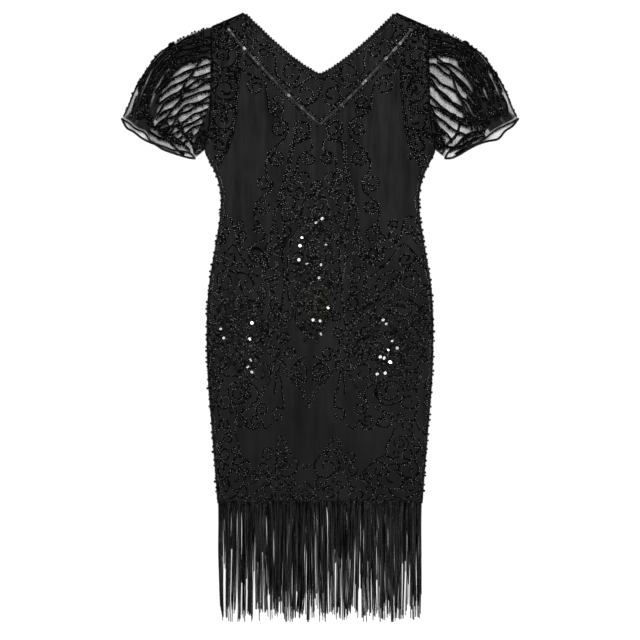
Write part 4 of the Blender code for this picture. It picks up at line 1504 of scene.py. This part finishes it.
def make_sleeve_nets(net, gathers):
    """Each sleeve: a sheer tube, and the gathered net that darkens its upper side and its underarm."""
    around, down = SLEEVE_GRID
    sleeves = []
    for name, side in both_sides():
        def tube(i, j, side=side):
            ring = i / around * 2
            front = ring <= 1
            across = np.where(front, ring, 2 - ring)
            across = across - 0.10 * np.sin(math.tau * across)
            along = j / down
            upper, lower = sleeve_front(across, along, side), sleeve_back(across, along, side)
            points = np.where(front[:, None], upper, lower)
            return points * (side, 1, 1)

        bm = grid_sheet(around, down, tube)
        bmesh.ops.remove_doubles(bm, verts=bm.verts[:], dist=0.01 * MM)
        bmesh.ops.recalc_face_normals(bm, faces=bm.faces[:])
        sleeve = finish_mesh(f"sleeve_net_{name}", bm, net)
        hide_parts(f"sleeve_{name}")

        dark = []
        for area, edges in GATHERED_AREAS:
            dark.append(gathered_piece(f"sleeve_{area}_{name}", edges, side, gathers))
        sleeves.append((sleeve, dark))
    return sleeves


def gathered_piece(name, edges, side, finish):
    """Gathers of the net laid over part of a sleeve, thin along their edges."""
    across_cells, along_cells = GATHERS_GRID
    last = edges[-1][0]
    high_column = 2 if side > 0 else 1

    def place(i, j):
        across, along = i / across_cells, j / along_cells * last
        shares = through(edges, along)
        low, high = shares[:, 0], shares[:, high_column]
        points = sleeve_front(np.clip(low + across * (high - low), 0.004, 0.996), along * 0.985, side)
        pleat = np.sin(across * math.tau * 9 + 2.2 * np.sin(5 * along)) * 0.5
        points[:, 2] -= (1.1 - 0.9 * pleat) * MM * np.sin(math.pi * across) ** 0.3
        return points * (side, 1, 1)

    bm = grid_sheet(across_cells, along_cells, place)
    face_up(bm)
    uv = bm.loops.layers.uv.new("gathers")
    wide = across_cells + 1
    number = np.arange(len(bm.verts))
    i, j = number % wide / across_cells, number // wide / along_cells
    start, end = through(edges, j * last).T[3:]
    flat = np.column_stack([start + (end - start) * i, j])
    for face in bm.faces:
        for loop in face.loops:
            loop[uv].uv = flat[loop.vert.index]
    return finish_mesh(name, bm, finish)


def tube_along(name, points, radius, closed, finish):
    """A cord along these points."""
    curve = bpy.data.curves.new(name, "CURVE")
    curve.dimensions = "3D"
    curve.bevel_depth = radius
    curve.bevel_resolution = 1
    curve.use_fill_caps = not closed
    spline = curve.splines.new("POLY")
    spline.points.add(len(points) - 1)
    for point, place in zip(spline.points, points):
        point.co = (*place, 1)
    spline.use_cyclic_u = closed
    return curve_piece(name, curve, finish)


def curve_piece(name, curve, finish):
    """Turns a curve into a mesh piece."""
    holder = bpy.data.objects.new(name, curve)
    bpy.context.scene.collection.objects.link(holder)
    mesh = bpy.data.meshes.new_from_object(holder.evaluated_get(bpy.context.evaluated_depsgraph_get()))
    bpy.data.objects.remove(holder)
    bpy.data.curves.remove(curve)
    mesh.materials.clear()
    return finish_piece(name, mesh, finish)


def make_cuffs(cord):
    """The cord round each cuff."""
    share = np.linspace(0, 1, 90)
    for name, side in both_sides():
        ones = np.ones_like(share)
        upper = sleeve_front(share, ones, side)
        lower = sleeve_back(share[::-1], ones, side)
        ring = np.vstack([upper, lower[1:-1]])
        ring[:, :2] += cuff_outward() * HEM_CORD_OUT
        ring[:, 2] = np.maximum(ring[:, 2], 1.05 * HEM_CORD_RADIUS)
        hem = tube_along(f"rolled_hem_{name}", ring * (side, 1, 1), HEM_CORD_RADIUS, True, cord)
        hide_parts(f"cuff_edging_{name}")


def make_neck_edges(cord, bead_finish, bead):
    """The cord along the front's and the back's neck, with single beads outside it."""
    end = SHOULDER_POINT_X - NECK_CORD_SHORT_BY
    for name, drop, height in NECK_CORDS:
        x = np.linspace(-end, end, 220)
        path = beside(np.column_stack([x, neck_edge_y(x) - drop]), NECK_CORD_OUT)
        line = np.column_stack([path, np.full(len(path), height)])
        edge = tube_along(f"neck_cord_{name}", line, NECK_CORD_RADIUS, False, cord)
        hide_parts(f"neck_edging_{name}")
        places = spaced(beside(path, NECK_PICOTS_OUT), NECK_PICOT_PITCH)
        sizes = PICOT * np.random.default_rng(32).uniform(*NECK_PICOT_SIZES, len(places))
        above = np.maximum(height + 0.3 * MM, sizes / 2 + LEAST_GAP_TO_FLOOR)
        places = np.column_stack([places, above])
        turns, sizes = random_turns(len(places), 31), sizes[:, None]
        scattered(f"neck_picots_{name}", bead, places, turns, sizes, bead_finish, True)


def side_picots(random):
    """Places of the single beads that stand out past the side seams at uneven steps."""
    places = []
    for side in (1, -1):
        y = np.cumsum(random.uniform(*SIDE_PICOT_STEPS, 160)) * MM + SIDE_PICOTS_FROM_Y
        y = y[y < UNDERARM_Y - 12 * MM]
        x = half_width(y) + random.uniform(*SIDE_PICOTS_STAND_OUT, len(y)) * MM
        places.append(np.column_stack([side * x, y]))
    return np.vstack(places)


def make_front_beads(bead, polished, plain, thread):
    """The front's beads and their threads, in pieces down the dress and along its sides."""
    laid = laid_lines(3)
    couching_and_painted_shade("couching_and_painted_shade_front", laid, front_height, thread)
    random = np.random.default_rng(4)
    places, polish = beads_on(laid, BEAD_PITCH, 5)
    outline = side_picots(random)
    sizes = BEAD * (random.uniform(*BEAD_SIZES, len(places)) + POLISHED_BEADS_MORE * polish**2)
    sizes = sizes * (1 - SKIRT_BEADS_LESS * skirt_share(places[:, 1]))
    polish = np.concatenate([polish, np.zeros(len(outline))])
    sizes = np.concatenate([sizes, PICOT * random.uniform(*SIDE_PICOT_SIZES, len(outline))])
    places = np.vstack([places, outline])
    z = front_height(*places.T) + BEAD_LIFT * sizes
    centres = np.column_stack([places, z])
    turns = random_turns(len(places), 8)
    x, y = places.T
    outer = np.minimum(half_width(y) - np.abs(x), 0.75 * (top_edge_y(x) - y)) < EDGE_BEADS_WIDE
    bodice = ~outer & (y > BODICE_BEADS_FROM_Y)
    skirt = ~outer & (y <= SKIRT_BEADS_FROM_Y)
    bands = (
        ("bodice", bodice, polished),
        ("hips", ~outer & ~bodice & ~skirt, polished),
        ("skirt", skirt, polished),
        ("edges", outer, plain),
    )
    for name, chosen, finish in bands:
        at, turn, size = centres[chosen], turns[chosen], sizes[chosen][:, None]
        scattered(f"beads_{name}", bead, at, turn, size, finish, True, polish[chosen])


def make_back_beads(bead, finish):
    """The back's smaller beads, low in its cloth and just clear of the floor."""
    places, _ = beads_on(laid_lines(21, with_curls=False), BACK_BEAD_PITCH, 22, paired=False)
    z = np.clip(back_height(*places.T) - BACK_BEAD_SUNK, BACK_BEAD_LEAST_Z, None)
    turns = random_turns(len(places), 9)
    scattered(
        "beads_back", bead, np.column_stack([places, z]), turns, BACK_BEAD, finish, True
    )


def make_chevron_tape(finish):
    """The narrow tape under the V's plates."""
    leg = along_path(CHEVRON_PATH, np.linspace(0, 1, 80))
    path = np.concatenate([leg[:0:-1] * (-1, 1), leg])
    low, high = beside(path, -TAPE_HALF_WIDTH), beside(path, TAPE_HALF_WIDTH)

    def place(i, j):
        share = (j / 2)[:, None]
        at = i.astype(int)
        points = low[at] * (1 - share) + high[at] * share
        return np.column_stack([points, front_height(*points.T) + TAPE_LIFT])

    bm = grid_sheet(len(path) - 1, 2, place)
    face_up(bm)
    tape = finish_mesh("chevron_tape", bm, finish)
    walled(tape, TAPE)
    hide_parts("chevron_trim")


def make_chevron_plates(finish):
    """The overlapping plates of the V, each tipped one way or another."""
    shape = template(plate)
    random = np.random.default_rng(17)
    places, turns = [], []
    for side in (1, -1):
        line = along_path(CHEVRON_PATH, np.linspace(0, 1, 200)) * (side, 1)
        spots = spaced(line, PLATE_PITCH)
        run = np.gradient(spots, axis=0)
        spin = np.arctan2(run[:, 1], run[:, 0])
        stray = random.normal(0, 0.05, (len(spots), 2))
        tilt = stray + random.choice(PLATE_TILTS, (len(spots), 2))
        for spot, angle, (a, b) in zip(spots, spin, tilt):
            c, s = math.cos(angle), math.sin(angle)
            first = np.array([c, s, 0.09 + a])
            first /= np.linalg.norm(first)
            second = np.array([-s, c, b])
            second -= first * (second @ first)
            second /= np.linalg.norm(second)
            turns.append(np.column_stack([first, second, np.cross(first, second)]))
            places.append((*spot, front_height(spot[0], spot[1]) + PLATE_LIFT))
    places, turns = np.array(places, float), np.array(turns)
    scattered("chevron_plates", shape, places, turns, PLATE, finish)


def sequin_places():
    """Places of the sequins in their three fields, and the ones that catch the light."""
    random = np.random.default_rng(12)
    bright = charted(BRIGHT_SEQUINS)
    found = [bright]
    for side, x, y, wide, high, count in SEQUIN_FIELDS:
        angle = random.uniform(0, math.tau, count)
        reach = random.uniform(0, 1, count) ** 0.6
        spots = np.column_stack([x + wide * reach * np.cos(angle), y + high * reach * np.sin(angle)])
        found.append(leaned(charted(spots), side or 1))
    places = np.vstack(found)
    kept = thinned(places, SEQUINS_APART)
    return places[kept], kept < len(bright)


def turned_from_lights(normals, glints):
    """Tips each normal away from every direction in which it would mirror a light to the camera."""
    for _ in range(4):
        normals = normals / np.linalg.norm(normals, axis=1)[:, None]
        for glint in glints:
            towards = np.einsum("ij,ij->i", normals, glint)
            strength = np.clip((towards - math.cos(GLINT_ANGLE)) / (1 - math.cos(GLINT_ANGLE)), 0, 1)
            aside = normals - towards[:, None] * glint + 1e-4
            aside /= np.linalg.norm(aside, axis=1)[:, None]
            normals = normals + 0.16 * strength[:, None] * aside
    return normals


def make_sequins(finish, bead, bead_finish, light_places):
    """Cupped sequins that lie all ways, and the few that catch a light."""
    shape = template(sequin)
    places, bright = sequin_places()
    random = np.random.default_rng(14)
    count = len(places)
    z = front_height(*places.T) + random.uniform(*SEQUIN_HEIGHTS, count) * MM
    centres = np.column_stack([places, z])
    to_eye = np.array(CAMERA_PLACE) - centres
    to_eye /= np.linalg.norm(to_eye, axis=1)[:, None]
    glints = []
    for light in np.array(light_places):
        glint = light / np.linalg.norm(light) + to_eye
        glints.append(glint / np.linalg.norm(glint, axis=1)[:, None])
    normals = random.normal(0, SEQUIN_TIP, (count, 3))
    normals[:, 2] = 1.0
    normals = turned_from_lights(normals, glints)
    chosen = np.stack(glints)[random.integers(0, len(glints), count), np.arange(count)]
    normals[bright] = (chosen + random.normal(0, BRIGHT_SEQUIN_TIP, normals.shape))[bright]
    turns = turned_to(normals, random.uniform(0, math.tau, count))
    bright_wide = random.uniform(*BRIGHT_SEQUIN_SIZES, count)
    wide = np.where(bright, bright_wide, random.uniform(*SEQUIN_SIZES, count)) * MM
    narrow = np.where(bright, random.uniform(0.5, 1.0, count), 1.0)
    sizes = np.column_stack([wide, wide * narrow, wide])
    scattered("sequins", shape, centres, turns, sizes, finish)
    up = turns[:, :, 2]
    beads_at = centres + up * SEQUIN_BEAD_LIFT
    turns, polish = random_turns(count, 15), random.uniform(0, 1, count)
    scattered(
        "sequin_beads", bead, beads_at, turns, SEQUIN_BEAD, bead_finish, False, polish
    )


def threads(name, lines, side, radius, finish):
    """Threads of a sleeve, as one joined mesh of thin cords."""
    curve = bpy.data.curves.new(name, "CURVE")
    curve.dimensions = "3D"
    curve.bevel_depth = radius
    curve.bevel_resolution = 0
    for line in lines:
        spline = curve.splines.new("POLY")
        spline.points.add(len(line) - 1)
        line = line * (side, 1, 1)
        line[:, 2] = np.maximum(line[:, 2], radius + LEAST_GAP_TO_FLOOR)
        for point, place in zip(spline.points, line):
            point.co = (*place, 1)
    return curve_piece(name, curve, finish)


def on_sleeve(plan, surface, side, lift):
    """Plan points laid on one layer of a sleeve, without those that miss it."""
    across, along = np.meshgrid(np.linspace(0, 1, 101), np.linspace(0, 1, 81))
    samples = surface(across.ravel(), along.ravel(), side)
    distance, which = nearest(plan, samples)
    laid = np.column_stack([plan, samples[which, 2] + lift])
    return laid[distance < 2.5 * MM]


def sleeve_outline_beads(side, random):
    """Places of the beads that stand out along a sleeve's upper fold, at uneven steps."""
    steps = random.uniform(*SLEEVE_OUTLINE_STEPS, 90) * MM
    at = np.cumsum(steps) / path_length(np.array(SLEEVE_UPPER_FOLD))
    at = at[at < 0.97]
    places = sleeve_front(np.full(len(at), 0.004), at, side)
    run = np.gradient(places[:, :2], axis=0)
    run /= np.linalg.norm(run, axis=1)[:, None]
    outward = np.column_stack([-run[:, 1], run[:, 0]])
    places[:, :2] += outward * random.uniform(*SLEEVE_OUTLINE_STANDS_OUT, len(at))[:, None] * MM
    return places


def armhole_seam(side):
    """The thread that closes the armhole, a little uneven."""
    y = np.linspace(SLEEVE_LOWER_FOLD[0][1] + 2 * MM, SLEEVE_UPPER_FOLD[0][1] - 2 * MM, 160)
    uneven = 0.4 * np.sin(y * 210 + side) + 0.3 * np.sin(y * 470)
    x = half_width(y) + (0.2 + uneven) * MM
    return np.column_stack([x, y, np.full(len(y), FRONT_TOP - 0.3 * MM)])


def sleeve_lines(side, random):
    """The beaded lines that fall over a sleeve: their rows of beads and their threads."""
    own = LEFT_SLEEVE_LINES if side > 0 else RIGHT_SLEEVE_LINES
    rows, threaded = [], []
    for surface, lines, lift in (
        (sleeve_front, own + GATHERED_LINES, SLEEVE_LINE_LIFT),
        (sleeve_back, LOWER_LINES, LOWER_LINE_LIFT),
    ):
        for number, line in enumerate(lines):
            line = along_path(charted(line), np.linspace(0, 1, 120))
            line = wobbled(line, 60 + 2 * number + side)
            line = on_sleeve(line, surface, side, lift)
            row = spaced(line, SLEEVE_BEAD_PITCH, random.uniform(0.2, 0.8))
            row[:, 0] += random.uniform(-0.6, 0.6, len(row)) * MM
            row[:, 1] -= random.uniform(*SLEEVE_BEAD_DROP, len(row)) * MM
            rows.append(row)
            threaded.append(line[::4] - (0, 0, THREAD_BELOW_BEADS))
    return rows, threaded


def sleeve_curls(side, random):
    """The curls on a sleeve's gathers: their rows of beads and their threads."""
    rows, threaded = [], []
    for low, high, first, last, count in SLEEVE_CURLS:
        for _ in range(count):
            across, along = random.uniform(low, high), random.uniform(first, last)
            centre = sleeve_front(np.array([across]), np.array([along]), side)[0]
            radius = random.uniform(*SLEEVE_CURL_RADII) * MM
            angle = random.uniform(0, math.tau)
            start = centre[:2] + radius * np.array([math.cos(angle), math.sin(angle)])
            curl = spiral(centre[:2], start, random.uniform(0.5, 1.1), random.choice((-1, 1)), 0.4)
            curl = on_sleeve(curl, sleeve_front, side, SLEEVE_LINE_LIFT)
            if len(curl) < SHORTEST_CURL:
                continue
            rows.append(spaced(curl, SLEEVE_CURL_PITCH))
            threaded.append(curl[::4] - (0, 0, THREAD_BELOW_BEADS))
    return rows, threaded


def make_sleeve_beads(bead, finish, thread):
    """Beaded lines that fall over each sleeve, and curls on its gathers."""
    for name, side in both_sides():
        random = np.random.default_rng(40 + side)
        rows, threaded = sleeve_lines(side, random)
        curl_rows, curl_threads = sleeve_curls(side, random)
        outline = sleeve_outline_beads(side, random)
        fold = sleeve_front(np.full(60, 0.008), np.linspace(0.3, 0.985, 60), side)
        # Thick threads: partly thread, partly painted shade beside the lines.
        threads(f"sleeve_threads_and_shade_{name}", threaded + curl_threads, side, SLEEVE_THREAD_AND_SHADE_RADIUS, thread)
        threads(f"sleeve_seams_{name}", [fold, armhole_seam(side)], side, SEAM_RADIUS, thread)
        places = np.vstack([*rows, *curl_rows, outline])
        seam_x = half_width(np.clip(places[:, 1], HEM_Y, HALF_WIDTHS[-1][0]))
        places = places[places[:, 0] > seam_x - 1 * MM]
        sizes = random.uniform(*SLEEVE_BEAD_SIZES, len(places))[:, None] * MM
        places[:, 2] = np.maximum(places[:, 2], sizes[:, 0] / 2 + LEAST_GAP_TO_FLOOR)
        places = places * (side, 1, 1)
        turns = random_turns(len(places), 50 + side)
        scattered(f"sleeve_beads_{name}", bead, places, turns, sizes, finish, True)


def parted(half_wide, fewest, most, opening, random):
    """Where strands hang that part into groups, and each one's group."""
    steps = np.ones(STRANDS)
    group = np.zeros(STRANDS, int)
    at = random.integers(fewest, most)
    while at < STRANDS:
        steps[at] += opening * random.uniform(0.5, 1.6)
        group[at:] += 1
        at += random.integers(fewest, most)
    x = np.cumsum(steps)
    return half_wide * (2 * (x - x[0]) / (x[-1] - x[0]) - 1), group


def strand_lengths(name, group, random):
    """How long each strand of a row is, and how far above the hem it starts."""
    groups = group[-1] + 1
    if name == "front":
        share = random.normal(0.926, 0.022, groups)[group] + random.normal(0, 0.042, STRANDS)
        is_long = random.uniform(size=STRANDS) < FRONT_LONG_ONES
        share = np.where(is_long, random.uniform(0.955, 0.99, STRANDS), share)
        start = random.uniform(-1.0, 7.0, STRANDS) * MM
    else:
        share = 0.86 - 0.52 * random.uniform(0, 1, groups)[group] ** 2 + random.normal(0, 0.05, STRANDS)
        is_long = random.uniform(size=STRANDS) < BACK_LONG_ONES
        share = np.where(is_long, random.uniform(0.86, 0.98, STRANDS), share)
        start = np.full(STRANDS, -1.0 * MM)
    length = np.clip(share, 0.2, 1.0) * (LONGEST_STRAND - 1 * MM)
    length[STRANDS // 3] = LONGEST_STRAND - 1 * MM
    return length, start


def fringe_heading(name, half_wide, height, finish):
    """The narrow tape that carries a row of strands."""
    def place(i, j):
        x = (i / HEADING_CELLS * 2 - 1) * half_wide
        y = HEM_Y - SEAM_GAP - j / 2 * HEADING_DEPTH
        return np.column_stack([x, y, np.full(len(x), height)])

    bm = grid_sheet(HEADING_CELLS, 2, place)
    face_up(bm)
    tape = finish_mesh(f"fringe_heading_{name}", bm, finish)
    walled(tape, CLOTH)


def make_fringe(finish, tape_finish):
    """Two rows of long strands, each on its narrow heading."""
    corners, faces = template(strand)
    for name, half_wide, wide, fewest, most, opening, heights, seed in FRINGE_ROWS:
        random = np.random.default_rng(seed)
        root_z, middle_z, tip_z = np.array(heights) * MM
        even = np.linspace(-half_wide, half_wide, STRANDS)
        hung, group = parted(half_wide, fewest, most, opening, random)
        groups = group[-1] + 1
        # Each group drifts a little on its way down, and broad parts of the row lean together.
        drift = random.normal(0, 0.8 * MM, groups)[group] + random.normal(0, 0.45 * MM, STRANDS)
        drift = drift + SWAY * (np.sin(hung * 62 + 1.0) + 0.6 * np.sin(hung * 137 + 2.5))
        bow = random.normal(0, 1.0, groups)[group] + random.normal(0, 0.3, STRANDS)
        length, start = strand_lengths(name, group, random)
        size = wide * random.uniform(0.75, 1.2, STRANDS)
        level = random.uniform(-0.5, 0.5, STRANDS) * MM
        share = 0.5 - corners[:, 2]
        y = HEM_Y + start[:, None] - share * (length + start)[:, None]
        down = np.clip((HEM_Y - y) / LONGEST_STRAND, 0.0, 1.0)
        apart = 1 - np.exp(-down / PARTED_WITHIN)
        x = even[:, None] + (hung - even)[:, None] * apart
        x = x + corners[None, :, 0] * size[:, None] * (1 - STRAND_TAPER * down)
        x = x + drift[:, None] * down**1.2 + STRAND_BOW * bow[:, None] * np.sin(math.pi * down)
        for bends, wander in STRAND_WANDER:
            phase = random.uniform(0, math.tau, STRANDS)[:, None]
            x = x + wander * np.sin(bends * math.tau * down + phase) * smooth(down / 0.2)
        z = middle_z + (tip_z - middle_z) * down + (root_z - middle_z) * np.exp(-down / SETTLED_WITHIN)
        apart_in_height = level[:, None] * np.sin(math.pi * np.clip(down, 0, 0.5))
        z = z + corners[None, :, 1] * size[:, None] + apart_in_height
        z = np.maximum(z, STRAND_LEAST_Z)
        points = np.stack([x, y, z], axis=2)
        # Each strand's own value, carried as polish, sets its painted shade.
        mesh = joined_mesh(f"fringe_strands_{name}", points, faces, random.uniform(0, 1, STRANDS))
        strands = finish_piece(f"fringe_strands_{name}", mesh, finish)
        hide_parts(f"fringe_{name}")
        fringe_heading(name, half_wide, middle_z + 0.3 * MM, tape_finish)


# ------------------------------------------------------------------ floor, light and camera
CAMERA_PLACE = (0.0, -0.0046, 2.785)
CAMERA_LENS = 84.7
SENSOR = 36.0
LIGHTS = (
    # place towards the light, watts a square metre, apparent width in degrees
    (-0.45, 0.95, 2.5, 1.31, 8.5),
    (0.45, 0.95, 2.5, 1.31, 8.5),
    (-1.60, 0.40, 1.9, 0.52, 11.0),
    (1.60, 0.40, 1.9, 0.52, 11.0),
    (-0.80, -1.50, 1.9, 0.52, 11.0),
    (0.80, -1.50, 1.9, 0.52, 11.0),
)
FLOOR_HALF_WIDE = 40.0
BACKDROP = 1.15
DIM_SKY = 0.02


def make_studio():
    bm = bmesh.new()
    bmesh.ops.create_grid(bm, x_segments=1, y_segments=1, size=FLOOR_HALF_WIDE)
    mesh = bpy.data.meshes.new("floor")
    bm.to_mesh(mesh)
    bm.free()
    made, _, _ = new_finish("floor", (0.93, 0.93, 0.93), 0.9, 0.0)
    mesh.materials.append(made)
    floor = bpy.data.objects.new("floor", mesh)
    bpy.context.scene.collection.objects.link(floor)
    for number, (x, y, z, strength, width) in enumerate(LIGHTS):
        lamp = bpy.data.lights.new(f"soft_light_{number}", "SUN")
        lamp.energy = strength
        lamp.angle = math.radians(width)
        holder = bpy.data.objects.new(lamp.name, lamp)
        holder.location = (x, y, z)
        holder.rotation_euler = (Vector((0, 0, 0)) - Vector((x, y, z))).to_track_quat("-Z", "Y").to_euler()
        bpy.context.scene.collection.objects.link(holder)
    world = bpy.data.worlds.new("studio")
    bpy.context.scene.world = world
    world.use_nodes = True
    tree = world.node_tree
    sky = tree.nodes["Background"]
    sky.inputs["Color"].default_value = (1, 1, 1, 1)
    rays = add_node(tree, "ShaderNodeLightPath")
    seen = maths(tree, "MULTIPLY_ADD", rays.outputs["Is Camera Ray"], BACKDROP - DIM_SKY, DIM_SKY)
    tree.links.new(seen, sky.inputs["Strength"])


def make_camera():
    camera = bpy.data.cameras.new("camera")
    camera.sensor_width = SENSOR
    camera.lens = CAMERA_LENS
    holder = bpy.data.objects.new("camera", camera)
    holder.location = CAMERA_PLACE
    bpy.context.scene.collection.objects.link(holder)
    bpy.context.scene.camera = holder
    bpy.context.scene.view_settings.view_transform = "Standard"


def main():
    make_camera()
    make_studio()
    net = net_over_lining()
    jet = polished_jet()
    plain = plain_jet()
    bead = template(round_bead)
    front, back = make_body_cloth(net)
    sleeves = make_sleeve_nets(sheer_net(), gathered_net())
    cord = rolled_edge()
    make_cuffs(cord)
    make_neck_edges(cord, plain, bead)
    thread = thread_and_painted_shade()
    make_front_beads(bead, jet, plain, thread)
    make_back_beads(bead, plain)
    make_chevron_tape(net)
    make_chevron_plates(smoked_plates())
    make_sequins(sequin_black(), bead, jet, [light[:3] for light in LIGHTS])
    make_sleeve_beads(bead, plain, thread)
    make_fringe(fringe_thread(), thread)


main()
